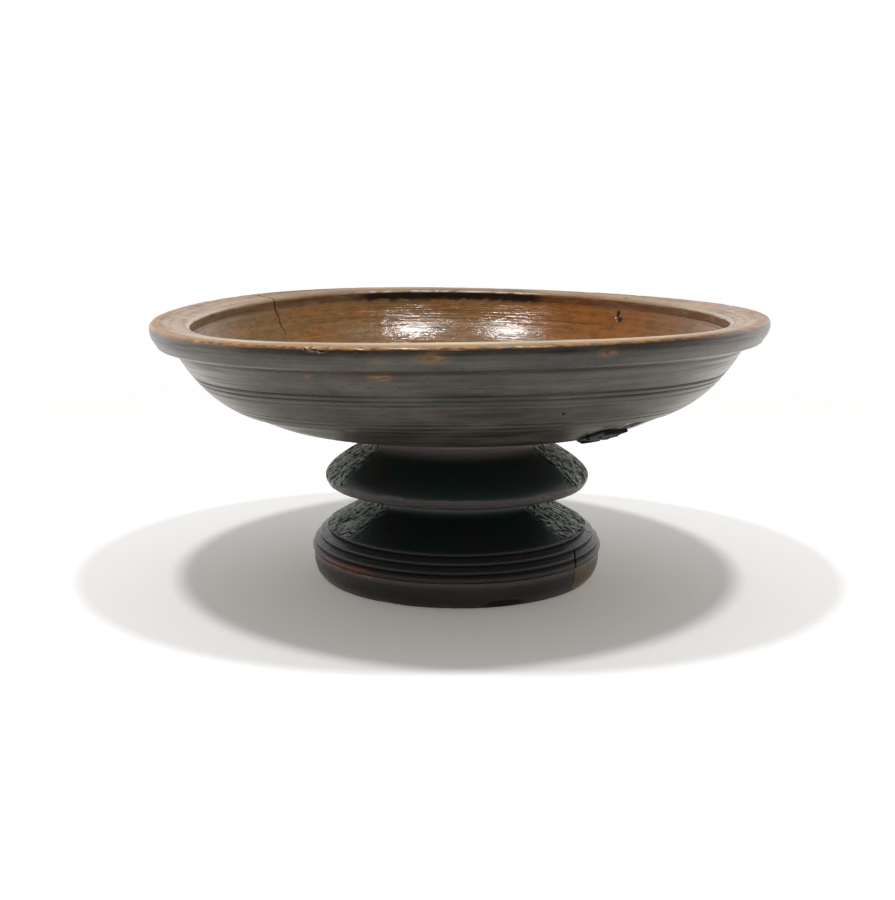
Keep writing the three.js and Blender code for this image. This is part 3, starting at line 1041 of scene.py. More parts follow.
@dataclass
class Dish:
    """The bowl itself, with the marks of its long use."""

    band_height: float = 13.0
    band_lean: float = 7.5
    band_bulge: float = 0.065  # how far the band swells past the rim's radius
    band_arris: Pair = (3.7, 0.75)  # from the ledge to the band's lower edge
    band_arris_pull: Pair = (1.5, 2.5)
    band_rim_pull: Pair = (1.0, -4.5)
    rim_width: float = 23.0
    rim_rounding: float = 2.2
    crest_setback: float = 6.5
    crest_height: float = 0.6
    lip_depth: float = 6.5
    lip_undercut: float = 0.4
    ledge_depth: float = 6.6
    ledge_height: float = 1.3
    wall: float = 11.0
    floor_dish: float = 0.6
    underside_radius: float = 87.5
    underside_rise: float = 1.0
    heel_radius: float = 131.0
    heel_rise: float = 15.3
    collar_radius: float = MOVEMENT.seat_radius
    socket_depth: float = 7.5
    bowl_height: float = 64.9  # from its seat to the rim's nominal top
    shoulder_pull: Pair = (-14.5, -25.9)
    heel_up_pull: Pair = (5.1, 2.5)
    heel_down_pull: Pair = (-10.4, -2.8)
    base_pull: Pair = (20.9, 0.5)
    grooves: tuple[Pair, ...] = (
        (8.6, 0.8),
        (10.8, 0.8),
        (13.2, 0.35),
        (23.7, 0.3),
        (27.3, 0.8),
        (32.7, 0.3),
    )  # how far in from the wall's top each turned line lies, and how deep it is
    groove_half: float = 0.7
    angle_step: float = 0.85
    ridge_depth: float = 0.15  # of the turning tool's marks
    wave_depth: float = 0.25  # of the broad unevenness of an old surface
    knock_depth: float = 0.9  # of dents along the rim's edges
    crack_angle: float = -129.0
    crack_end: Pair = (142.0, 152.0)  # radii inside the dish: where it has closed and where it starts to
    crack_depth: float = 1.8
    crack_wander: float = 0.7  # degrees by which it strays from its angle
    gouge_angle: float = 136.2
    gouge_radius: float = 154.5
    worm_angle: float = 20.9
    worm_radius: float = 147.5
    nick_angle: float = -22.4
    nick_half: float = 10.0
    scrape_angle: float = 44.0
    scrape_radius: float = 124.5
    hollow_angle: float = 50.5
    hollow_radii: Pair = (119.0, 129.0)
    tail_angle: float = 55.0  # a thin split that runs on past the broken hollow
    tail_radius: float = 131.5
    shade_angle: float = 182.5  # the middle of the painted shade under the lip at the back
    shade_half: float = 27.0
    seed: int = 7

    def __post_init__(self) -> None:
        """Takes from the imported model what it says."""
        self.seat = node_top("waist_disc") + JOINT_GAP
        self.top = self.seat + self.bowl_height
        self.reach = node_reach("bowl") - self.band_bulge
        self.lip_radius = self.reach - self.rim_width
        self.ledge = np.array([self.reach - self.band_lean, self.top - self.band_height])
        foot = (self.underside_radius, self.seat + self.underside_rise)
        heel = (self.heel_radius, self.seat + self.heel_rise)
        wall_top = self.ledge - (self.ledge_depth, self.ledge_height)
        underside = bezier(foot, self.base_pull, self.heel_down_pull, heel)
        side = bezier(heel, self.heel_up_pull, self.shoulder_pull, wall_top)
        self.outer_wall = np.vstack([underside, side[1:]])
        self.noise = WoodNoise(self.seed)

    def inner_wall(self) -> Array:
        """The wall's inside, from the lip down to the floor, without the fold behind the heel."""
        line = offset(self.outer_wall, self.wall)
        line = line[line[:, 0] >= np.maximum.accumulate(line[:, 0])]
        kept = (line[:, 0] < self.lip_radius) & (line[:, 1] < self.top - self.lip_depth - 1)
        return line[kept][::-1]

    def outline(self) -> Outline:
        """The whole section of the bowl, from its socket round to the middle of its floor."""
        lines = tuple(self.outer_wall[-1, 0] - groove[0] for groove in self.grooves)
        round_in = (self.lip_radius + self.rim_rounding, self.top - self.rim_rounding)
        round_out = (self.reach - self.rim_rounding, self.top - self.rim_rounding)
        band_end = (self.reach, self.top - self.rim_rounding)
        floor = self.seat + self.underside_rise + self.wall - self.floor_dish
        way = Outline(0, self.seat + self.socket_depth)
        way.to(SPINDLE_BORE, self.seat + self.socket_depth, 5).to(SPINDLE_BORE, self.seat, 4)
        way.to(self.collar_radius, self.seat, 8).mark("seat")
        way.to(*self.outer_wall[0], 3).mark("wall_foot")
        way.follow(self.outer_wall, 2.1, (*lines, self.worm_radius, self.heel_radius)).mark("wall_top")
        way.to(*self.ledge, 1.1).mark("ledge")
        arris = self.ledge + self.band_arris
        way.to(*arris, 0.7).mark("arris")
        way.follow(bezier(arris, self.band_arris_pull, self.band_rim_pull, band_end), 0.7).mark("band_top")
        way.follow(arc(round_out, self.rim_rounding, 0, 90), 0.5).mark("rim_outer")
        way.to(self.lip_radius + self.crest_setback, self.top + self.crest_height, 1.5).mark("crest")
        way.to(round_in[0], self.top, 1.0).mark("rim_inner")
        way.follow(arc(round_in, self.rim_rounding, 90, 180), 0.5)
        way.to(self.lip_radius + self.lip_undercut, self.top - self.lip_depth, 1.0).mark("lip")
        way.follow(self.inner_wall(), 2.0, (self.lip_radius, self.gouge_radius)).mark("floor_edge")
        way.to(0, floor, 6)
        return way

    def angles(self) -> Array:
        """Angles round the bowl, closer together where it is cracked, pierced or chipped."""
        fine = (
            (self.crack_angle, 1.0, 0.07),
            (self.gouge_angle, 1.8, 0.12),
            (self.worm_angle, 1.1, 0.1),
            (self.nick_angle, 4.0, 0.25),
        )
        return angles_between(-180, 180, self.angle_step, fine)

    def cut_grooves(self, skin: Skin) -> None:
        """The turned lines on the outside.

        Args:
            skin: The bowl's skin.
        """
        outside = skin.between("wall_foot", "wall_top")
        for setback, depth in self.grooves:
            away = skin.radius - (self.outer_wall[-1, 0] - setback)
            wander = 0.75 + 0.5 * self.noise.at(skin.spots / 30, (1, 1, 1))
            cut = outside * depth * wander * np.clip(1 - np.abs(away) / self.groove_half, 0, 1)
            skin.sink(cut)
            skin.paint(Paint.DARK, 0.9 * cut)

    def roughen(self, skin: Skin) -> None:
        """The tool's ridges, and knocks along the edges of the rim.

        Args:
            skin: The bowl's skin.
        """
        spots = skin.spots
        round_and_along = (np.sin(skin.angle), np.cos(skin.angle), skin.path)
        ways = np.stack([part + 0 * skin.sunk for part in round_and_along], axis=-1)
        shown = rise(skin.path, skin.path_at("seat"), skin.path_at("wall_foot"))
        skin.sink(shown * self.ridge_depth * self.noise.layered(ways, (0.42, 0.42, 6), 2))
        skin.sink(shown * self.wave_depth * self.noise.at(spots, (45, 45, 20)))
        edge = skin.between("band_top", "rim_outer", 2.5) + 0.6 * skin.between("rim_inner", "lip", 3)
        knocks = rise(self.noise.layered(spots, (9, 9, 5), 3), 0.52, 0.85)
        skin.sink(edge * knocks * self.knock_depth)

    def crack(self, skin: Skin) -> None:
        """The open crack at the back left: over the rim and down the inside.

        Args:
            skin: The bowl's skin.
        """
        middle = self.crack_angle + self.crack_wander * (self.noise.at(skin.spots, (8, 8, 5)) - 0.5)
        across = np.abs(np.radians(turn_from(skin.angle, 0) - middle)) * skin.radius
        start = skin.path_at("ledge") + 6
        fades = [skin.path_for(radius, "lip", "floor_edge") for radius in self.crack_end]
        strength = rise(skin.path, start, start + 6) * rise(skin.path, *fades)
        width = 0.15 + 0.25 * strength
        skin.sink(self.crack_depth * np.clip(1 - across / width, 0, 1) * strength)
        skin.paint(Paint.DARK, 0.8 * rise(1 - across / (width + 0.3), 0, 0.6) * strength)

    def gouges(self, skin: Skin) -> None:
        """Small deep marks at the back right, and a beetle's hole at the front.

        Args:
            skin: The bowl's skin.
        """
        wall = skin.path_for(self.gouge_radius, "lip", "floor_edge")
        rim = skin.path_at("crest") + 0.9
        worm = skin.path_for(self.worm_radius, "wall_foot", "wall_top")
        marks = (
            (self.gouge_angle + 0.6, wall - 1.8, 1.6, 3.4, 0.7),
            (self.gouge_angle - 0.5, wall + 2.0, 2.6, 2.4, 0.5),
            (self.gouge_angle + 0.3, rim, 2.2, 1.3, 0.6),
            (self.worm_angle, worm, 1.2, 1.2, 3.0),
            (self.worm_angle + 2.2, worm - 1, 0.6, 0.6, 0.5),
        )
        for degrees, path, across, along, depth in marks:
            spot = skin.near(degrees, path, across, along, 0.55)
            skin.sink(depth * spot)
            skin.paint(Paint.DARK, rise(spot, 0.1, 0.7))

    def nick(self, skin: Skin) -> None:
        """The chewed stretch of the rim's outer edge at the front left.

        Args:
            skin: The bowl's skin.
        """
        middle = skin.path_at("rim_outer") - 1.2
        place = skin.near(self.nick_angle, middle, self.nick_half, 4.0, 0.5)
        chewed = self.noise.layered(skin.spots, (1.4, 1.4, 1.1), 2)
        skin.sink(place * (0.4 + 1.6 * rise(chewed, 0.35, 0.75)))
        skin.paint(Paint.RUBBED, 0.6 * place)
        skin.paint(Paint.DARK, 0.85 * place * rise(chewed, 0.52, 0.64))
        skin.paint(Paint.PALE, 0.8 * place * rise(chewed, 0.45, 0.36))

    def wear_and_highlight_rim(self, skin: Skin) -> None:
        """Where hands and shelves have rubbed the rim's outer edge, with painted highlights on the rim's
        top, its bead and the band's lower edge.

        Args:
            skin: The bowl's skin.
        """
        degrees = np.degrees(skin.angle)
        aside = np.abs(np.sin(skin.angle))
        facing = np.clip(np.cos(skin.angle), 0, 1)
        rim_outer, crest, rim_inner = (skin.path_at(mark) for mark in ("rim_outer", "crest", "rim_inner"))
        edge_end = rim_outer + 0.6 + 4.0 * facing
        edge = rise(skin.path, rim_outer - 3.2, rim_outer - 2.2) * rise(skin.path - edge_end, 1.5, 0)
        left = hump(degrees, -75, 80, 0.6)
        front = hump(degrees, 0, 50, 0.5)
        skin.paint(Paint.RUBBED, edge * (0.45 + 0.4 * left + 0.2 * front))
        # painted highlight over the rim's flat top and crest, strongest at the front
        top_highlight = rise(skin.path, rim_outer + 5, rim_outer + 8) * rise(skin.path, crest + 3.5, crest + 1.5)
        speckle = 0.6 + 0.4 * self.noise.at(skin.spots, (25, 9, 9))
        skin.paint(Paint.PALE, top_highlight * (0.2 + 0.75 * hump(degrees, 0, 85, 0.6)) * speckle)
        # painted highlight on the bead at the sides
        bead = hump(skin.path, rim_inner + 1.2, 2.2, 0.3)
        skin.paint(Paint.PALE, 0.75 * bead * hump(np.abs(degrees), 80, 50, 0.5))
        # painted highlight along the band's lower edge at the sides
        skin.paint(Paint.PALE, hump(skin.path, skin.path_at("arris"), 0.9) * rise(aside, 0.25, 0.8))

    def wear_wall(self, skin: Skin) -> None:
        """Where the band and the wall have been rubbed through to warm wood or scraped pale.

        Args:
            skin: The bowl's skin.
        """
        band = skin.path_at("band_top") - 3
        below = skin.path_at("wall_top") - 2.5
        heel = skin.path_for(self.heel_radius, "wall_foot", "wall_top")
        patches = (
            (-4, band, 12, 5, 0.42),
            (-12, band - 2, 6, 3, 0.34),
            (23.3, band, 8, 4, 0.36),
            (-13.5, below, 10, 3.5, 0.42),
            (-27, below, 5, 2.5, 0.32),
            (-25, heel + 1.2, 5.5, 1.1, 0.6),
        )
        for degrees, path, across, along, strength in patches:
            skin.paint(Paint.RUBBED, strength * skin.near(degrees, path, across, along, 0.2))
        place = hump(np.degrees(skin.angle), self.scrape_angle, 11, 0.5)
        height = skin.path_for(self.scrape_radius, "wall_foot", "wall_top")
        skin.paint(Paint.PALE, 0.4 * place * hump(skin.path, height, 3))

    def broken_hollow(self, skin: Skin) -> None:
        """Where more of the underside has broken away beyond the patch.

        Args:
            skin: The bowl's skin.
        """
        degrees = np.degrees(skin.angle)
        start, end = (skin.path_for(radius, "wall_foot", "wall_top") for radius in self.hollow_radii)
        hollow = hump(degrees, self.hollow_angle, 4.5, 0.6)
        hollow = hollow * rise(skin.path, start - 2, start) * rise(skin.path, end + 1.5, end)
        middle = skin.path_for(self.tail_radius, "wall_foot", "wall_top")
        tail = hump(degrees, self.tail_angle, 4, 0.4) * hump(skin.path, middle, 1.2)
        place = np.maximum(hollow, tail)
        chewed = self.noise.layered(skin.spots, (6, 2.5, 2.5), 2)
        skin.sink(place * (0.8 + 1.2 * chewed))
        # painted shade in the broken hollow, and dark along the thin split
        skin.paint(Paint.DARK, place * (0.5 + 0.5 * chewed))

    def part_faces(self, skin: Skin) -> None:
        """Marks off the inside and the top of the rim, each with a finish of its own, and paints light on
        the lip's inner face at the sides.

        Args:
            skin: The bowl's skin.
        """
        aside = np.abs(np.sin(skin.angle))
        rim_inner = skin.path_at("rim_inner")
        inside = rise(skin.path, rim_inner - 1, rim_inner + 3)
        skin.paint(Paint.INSIDE, inside)
        skin.paint(Paint.HANDLED, skin.between("rim_outer", "rim_inner", 1.2))
        skin.paint(Paint.HANDLED, rise(skin.path, rim_inner + 3, rim_inner + 1) * inside)
        # painted light: the lip's inner face is lightened at the sides against its shade
        skin.paint(Paint.PALE, 0.25 * skin.between("rim_inner", "lip", 1.0) * aside)

    def shade_and_glints(self, skin: Skin) -> None:
        """Painted shade under the ledge, below the rim's front edge, under the lip at the back and in the
        lip's corner at the sides, with painted glints along the lip's back edge.

        Args:
            skin: The bowl's skin.
        """
        ragged = 5.5 * self.noise.layered(skin.spots, (3, 8, 8), 3)
        behind = hump(turn_from(skin.angle, self.shade_angle), 0, self.shade_half, 0.75)
        lip = skin.path_at("lip")
        rim_inner = skin.path_at("rim_inner")
        under_lip = rise(skin.path, lip - 5.2, lip - 4.4) * rise(skin.path + ragged, lip + 4.2, lip + 2.8)
        # painted shade under the lip at the back
        skin.paint(Paint.DARK, 0.92 * behind * under_lip)
        # painted shade in the corner where the lip meets the wall, at the sides
        skin.paint(Paint.DARK, 0.5 * hump(skin.path, lip, 0.9) * np.abs(np.sin(skin.angle)))
        # painted glints along the lip's edge at the back
        lip_glints = rise(self.noise.layered(skin.spots, (5, 8, 8), 2), 0.42, 0.55)
        skin.paint(Paint.PALE, behind * lip_glints * hump(skin.path, rim_inner + 2.4, 1.5, 0.5))
        front = hump(np.degrees(skin.angle), 5, 50, 0.6)
        # painted shade just below the rim's edge at the front
        skin.paint(Paint.DARK, 0.6 * front * hump(skin.path, skin.path_at("band_top") + 0.3, 1.5))
        # painted shadow under the ledge, all round
        skin.paint(Paint.DARK, 0.6 * hump(skin.path, skin.path_at("wall_top") + 0.5, 1.5))

    def build(self) -> bpy.types.Object:
        """Turns the bowl and lets it age."""
        skin = Skin(self.outline(), self.angles())
        self.cut_grooves(skin)
        self.roughen(skin)
        self.crack(skin)
        self.gouges(skin)
        self.nick(skin)
        self.broken_hollow(skin)
        self.wear_and_highlight_rim(skin)
        self.wear_wall(skin)
        self.part_faces(skin)
        self.shade_and_glints(skin)
        return skin.build("bowl_dressed", MOVEMENT.warp)

    def dress(self) -> None:
        """Gives the bowl its finish and its place in the frame."""
        stand_for(self.build(), "bowl", DishWood().material())


@dataclass
class UndersidePatch:
    """The proud sliver under the bowl, with its pins."""

    dish: Dish
    start: float = 35.5
    sweep: float = 14.0
    setback: float = 17.5
    width: float = 17.0
    thickness: float = 2.3
    taper: float = 5.0  # over which its inner side thins out
    tip_radius: float = 110.0
    tip_lean_in: float = 4.0  # degrees by which each side starts later than the tip
    tip_lean_out: float = 4.0
    break_share: float = 0.16  # of the sweep, by which its broken end is ragged
    tip_thickness: float = 0.6
    seed: int = 23

    def outline(self) -> Outline:
        """The sliver's section: its lower face out, and its upper face back."""
        wall = self.dish.outer_wall
        inner = self.dish.underside_radius + self.setback
        kept = wall[(wall[:, 0] >= inner) & (wall[:, 0] <= inner + self.width)]
        upper = offset(kept, -JOINT_GAP)
        lower = offset(kept, -JOINT_GAP - self.thickness)
        way = Outline(*lower[0])
        way.follow(lower, 0.7).mark("lower_end")
        way.to(*upper[-1], 0.4)
        way.follow(upper[::-1], 0.7)
        way.to(*lower[0], 0.4)
        return way

    def build(self) -> bpy.types.Object:
        """Splits the sliver off, thin at its tip and ragged at its broken end."""
        noise = WoodNoise(self.seed)
        angles = angles_between(self.start, self.start + self.sweep, 0.3)
        skin = Skin(self.outline(), angles, whole=False)
        inner = skin.radius.min()
        outer = skin.radius.max()
        share = (np.degrees(skin.angle) - self.start) / self.sweep
        ragged = noise.layered(skin.spots, (3, 1.2, 3), 3)
        lower = skin.path < skin.path_at("lower_end")
        thin = np.maximum(1 - share, rise(skin.radius, inner + self.taper, inner))
        skin.sink(lower * (thin * (self.thickness - self.tip_thickness) + 0.3 * ragged))
        skin.paint(Paint.TORN, rise(share, 0.85, 1.0) * (0.3 + 0.5 * ragged))
        across = np.zeros((*skin.sunk.shape, 3))
        across[..., 0] = skin.radius
        jagged = noise.at(across, (2.3, 1, 1)) * rise(share, 0.6, 1.0)
        late_in = self.tip_lean_in * rise(skin.radius, self.tip_radius, inner)
        late_out = self.tip_lean_out * rise(skin.radius, self.tip_radius, outer)
        skin.angle = skin.angle + np.radians(late_in + late_out) * (1 - share)
        skin.angle = skin.angle - np.radians(self.sweep) * self.break_share * jagged
        return skin.build("underside_patch_dressed", MOVEMENT.warp)

    def dress(self) -> None:
        """Gives the sliver and its pins their finishes."""
        stand_for(self.build(), "underside_patch", PatchWood().material())
        iron = PinIron().material()
        for node in sorted(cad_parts):
            if node.startswith("patch_pin"):
                dress_node(node, iron)


class TornWood:
    """What the pedestal's two blocks share: end grain that the tool has torn at both ends of X."""

    layer: Triple = (5.0, 0.8, 5.0)  # size of a pulled fibre along each axis
    pit: Triple = (1.8, 0.8, 1.8)  # size of a hole where a few fibres have gone
    soft_edge: float = 0.72  # share of the torn stretch's half width that is torn all over

    def __init__(self, seed: int) -> None:
        """Draws the wood's noise."""
        self.noise = WoodNoise(seed)

    def ends(self, skin: Skin, half: float) -> Array:
        """A mask of the two ends of the grain, with a ragged edge.

        Args:
            skin: The skin of the piece.
            half: How many degrees it reaches on each side of X.

        Returns:
            The mask, from 0 to 1.
        """
        ragged = 7 * (self.noise.layered(skin.spots, (9, 4, 9), 2) - 0.5)
        away = np.minimum(np.abs(turn_from(skin.angle, 90)), np.abs(turn_from(skin.angle, -90)))
        return rise(away + ragged, half, half * self.soft_edge)

    def tear(self, skin: Skin, where: Array, depth: float) -> None:
        """Pulls fibres out of the wood in short upright layers, and pits it between them.

        Args:
            skin: The skin of the piece.
            where: A mask of what is torn.
            depth: How deep the fibres are pulled.
        """
        layers = self.noise.layered(skin.spots, self.layer, 3)
        pits = rise(self.noise.at(skin.spots + 5, self.pit), 0.66, 0.82)
        pulled = np.maximum(rise(layers, 0.55, 0.65), pits)
        skin.sink(depth * where * pulled)
        skin.paint(Paint.TORN, where * (1 - 0.9 * pulled))
        skin.paint(Paint.DARK, 0.8 * where * rise(pulled, 0.4, 1.0))


@dataclass
class WaistDisc:
    """The upper block of the pedestal: a collar that swells into a disc with a thin edge."""

    shrinkage: float = 0.048
    base_radius: float = 52.0
    undercut: float = 1.6
    edge_top: float = 10.3
    edge_bottom: float = 4.8
    edge_tuck: float = 2.6
    collar_radius: float = 53.5
    collar_height: float = 11.0
    nose_pulls: tuple[Pair, Pair] = ((1.2, 0.6), (0.5, -0.8))  # round the disc's thin edge
    edge_pull: Pair = (-0.4, 5.5)
    collar_pull: Pair = (14.0, -8.2)
    fillet: float = 4.5  # softens the corner between the shoulder and the collar
    angle_step: float = 1.1
    close_angles: tuple[Triple, ...] = ((90, 42, 0.27), (-90, 42, 0.27))
    torn_half: float = 40.0
    torn_depth: float = 0.7
    torn_half_below: float = 35.0
    torn_depth_below: float = 0.5
    rubbed_angle: float = -52.0
    seed: int = 11

    def __post_init__(self) -> None:
        """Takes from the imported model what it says."""
        self.base = node_bottom("waist_disc")
        self.top = node_top("waist_disc")
        self.reach = node_reach("waist_disc")
        self.wood = TornWood(self.seed)

    def outline(self) -> Outline:
        """The block's section, from its bore out under the disc and back over its collar."""
        edge = np.array([self.reach, self.base + self.edge_top])
        collar = np.array([self.collar_radius, self.top - self.collar_height])
        lower = (self.reach - self.edge_tuck, self.base + self.edge_bottom)
        way = Outline(SPINDLE_BORE, self.base)
        way.to(self.base_radius, self.base, 6).mark("base")
        way.to(self.base_radius + self.undercut, self.base + self.undercut, 0.6)
        way.to(*lower, 0.9).mark("lower_arris")
        way.follow(bezier(lower, *self.nose_pulls, edge, 24), 0.45).mark("edge")
        shoulder = bezier(edge, self.edge_pull, self.collar_pull, collar)
        way.follow(eased(shoulder, (self.collar_radius, self.top), self.fillet), 0.5).mark("collar")
        way.to(self.collar_radius, self.top, 0.9).mark("top")
        way.to(SPINDLE_BORE, self.top, 6).to(SPINDLE_BORE, self.base, 8)
        return way

    def build(self) -> bpy.types.Object:
        """Turns the block, with its ends torn."""
        skin = Skin(self.outline(), angles_between(-180, 180, self.angle_step, self.close_angles))
        shoulder = skin.between("edge", "collar", 3)
        shown = skin.between("base", "top", 2)
        self.wood.tear(skin, self.wood.ends(skin, self.torn_half) * shoulder, self.torn_depth)
        below = 0.5 * self.wood.ends(skin, self.torn_half_below) * skin.between("base", "lower_arris", 2)
        self.wood.tear(skin, below, self.torn_depth_below)
        knocks = rise(self.wood.noise.layered(skin.spots, (7, 7, 4), 3), 0.52, 0.85)
        skin.sink(knocks * skin.between("lower_arris", "edge", 1.5) * 0.7)
        skin.sink(shown * 0.35 * self.wood.noise.at(skin.spots, (30, 30, 9)))
        edge = hump(skin.path, skin.path_at("edge") - 2.5, 4)
        skin.paint(Paint.RUBBED, 0.5 * edge * hump(np.degrees(skin.angle), self.rubbed_angle, 14, 0.4))
        skin.paint(Paint.HANDLED, 0.6 * skin.between("lower_arris", "edge", 1.5))
        # painted light: the collar under the bowl gets the lighter handled brown in full, which lifts it out
        # of the bowl's shade
        collar = skin.path_at("collar")
        outside = skin.path < skin.path_at("top")
        skin.paint(Paint.HANDLED, rise(skin.path, collar - 12, collar - 1) * outside)
        # painted shade along the crease under the disc's edge
        skin.paint(Paint.DARK, 0.7 * hump(skin.path, skin.path_at("lower_arris"), 1.4))
        return skin.build("waist_disc_dressed", MOVEMENT.shrink(self.shrinkage))

    def dress(self, finish: bpy.types.Material) -> None:
        """Gives the block its finish and its place in the frame."""
        stand_for(self.build(), "waist_disc", finish)


@dataclass
class ReededFoot:
    """The lower block of the pedestal: a collar, a swelling shoulder and four reeds."""

    base_inset: float = 3.0  # where the flat under it ends
    collar_radius: float = 52.0
    collar_height: float = 4.5
    setbacks: tuple[float, ...] = (0.0, 1.4, 4.6, 9.2)
    heights: tuple[float, ...] = (2.1, 5.7, 9.9, 13.9)
    swell: float = 0.8
    groove_depth: float = 1.1
    groove_drop: float = 1.5
    hollow_pulls: tuple[Pair, Pair] = ((-0.2, 0.1), (-0.1, -0.3))  # down into a groove
    lower_pulls: tuple[Pair, Pair] = ((0.9, 0.1), (0, -0.5))  # from the groove up to a reed's nose
    upper_pulls: tuple[Pair, Pair] = ((0, 0.3), (0.2, -0.2))  # and over its top
    reed_pull: Pair = (-5.5, 3.6)
    collar_pull: Pair = (7.0, -4.6)
    fillet: float = 2.5  # softens the corner between the shoulder and the collar
    crack_across: float = 68.2  # the crack's plane lies this far to the right of the axis
    crack_depth: float = 1.2
    crack_wander: float = 1.2
    crack_half: float = 0.4
    angle_step: float = 1.1
    close_angles: tuple[Triple, ...] = ((90, 46, 0.3), (-90, 44, 0.3))
    torn_half: float = 45.0
    torn_depth: float = 0.8
    torn_half_reeds: float = 40.0
    torn_depth_reeds: float = 0.1
    rubbed_angle: float = -47.0
    seed: int = 31

    def __post_init__(self) -> None:
        """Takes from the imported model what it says."""
        self.base = node_bottom("foot")
        self.top = node_top("foot")
        self.reach = node_reach("foot")
        self.wood = TornWood(self.seed)

    def outline(self) -> Outline:
        """The block's section, from its bore out under the reeds and back over its collar."""
        way = Outline(SPINDLE_BORE, self.base)
        way.to(self.reach - self.base_inset, self.base, 6).mark("base")
        way.to(self.reach - self.groove_depth, self.base, 0.7)
        for index, (setback, height) in enumerate(zip(self.setbacks, self.heights)):
            nose = np.array([self.reach - setback, self.base + height])
            after = nose + (-self.swell / 2, self.swell)
            below = np.array([nose[0] - self.groove_depth, nose[1] - self.groove_drop])
            if index == 0:
                below[1] = self.base
            way.follow(bezier(way.points[-1], *self.hollow_pulls, below, 8), 0.4).mark(f"groove_{index}")
            way.follow(bezier(below, *self.lower_pulls, nose, 12), 0.35)
            way.follow(bezier(nose, *self.upper_pulls, after, 8), 0.35)
        way.mark("reeds")
        start = way.points[-1]
        end = np.array([self.collar_radius, self.top - self.collar_height])
        shoulder = bezier(start, self.reed_pull, self.collar_pull, end)
        way.follow(eased(shoulder, (self.collar_radius, self.top), self.fillet), 0.6).mark("collar")
        way.to(self.collar_radius, self.top, 0.9).mark("top")
        way.to(SPINDLE_BORE, self.top, 6).to(SPINDLE_BORE, self.base, 8)
        return way

    def crack(self, skin: Skin) -> None:
        """The upright crack through the lower reeds at the front right, above the insert's joint.

        Args:
            skin: The foot's skin.
        """
        spots = skin.spots
        wander = self.crack_wander * (self.wood.noise.at(spots, (9, 9, 9)) - 0.5)
        across = np.abs(spots[..., 0] - self.crack_across + wander)
        front = rise(-spots[..., 1], 30, 38)
        top = skin.path_at("groove_2")
        reach = rise(skin.path, top + 1, top - 1) * (skin.path > skin.path_at("base"))
        skin.sink(self.crack_depth * np.clip(1 - across / self.crack_half, 0, 1) * front * reach)
        skin.paint(Paint.DARK, 0.75 * rise(1 - across / (1.5 * self.crack_half), 0, 0.6) * front * reach)

    def build(self) -> bpy.types.Object:
        """Turns the block, with its ends torn."""
        skin = Skin(self.outline(), angles_between(-180, 180, self.angle_step, self.close_angles))
        shoulder = skin.between("reeds", "collar", 3)
        shown = skin.between("base", "top", 2)
        self.wood.tear(skin, self.wood.ends(skin, self.torn_half) * shoulder, self.torn_depth)
        reeds = self.wood.ends(skin, self.torn_half_reeds) * skin.between("base", "reeds", 1)
        skin.paint(Paint.TORN, 0.18 * reeds)
        pulled = rise(self.wood.noise.layered(skin.spots, (9, 1.0, 9), 2), 0.5, 0.65)
        skin.sink(self.torn_depth_reeds * reeds * pulled)
        skin.sink(shown * 0.3 * self.wood.noise.at(skin.spots, (26, 26, 8)))
        self.crack(skin)
        worn = hump(skin.path, skin.path_at("base") + 5, 3.5, 0.2)
        skin.paint(Paint.RUBBED, 0.7 * worn * hump(np.degrees(skin.angle), self.rubbed_angle, 22, 0.5))
        handled = 0.45 * skin.between("collar", "top", 3) + 0.3 * skin.between("base", "reeds", 2)
        skin.paint(Paint.HANDLED, handled)
        # painted shade in the grooves between the reeds
        for index in range(1, len(self.setbacks)):
            skin.paint(Paint.DARK, 0.75 * hump(skin.path, skin.path_at(f"groove_{index}") - 0.2, 1.1, 0.2))
        return skin.build("foot_dressed", MOVEMENT.shrink(FOOT_SHRINKAGE))

    def dress(self, finish: bpy.types.Material) -> None:
        """Gives the block its finish and its place in the frame."""
        stand_for(self.build(), "foot", finish)


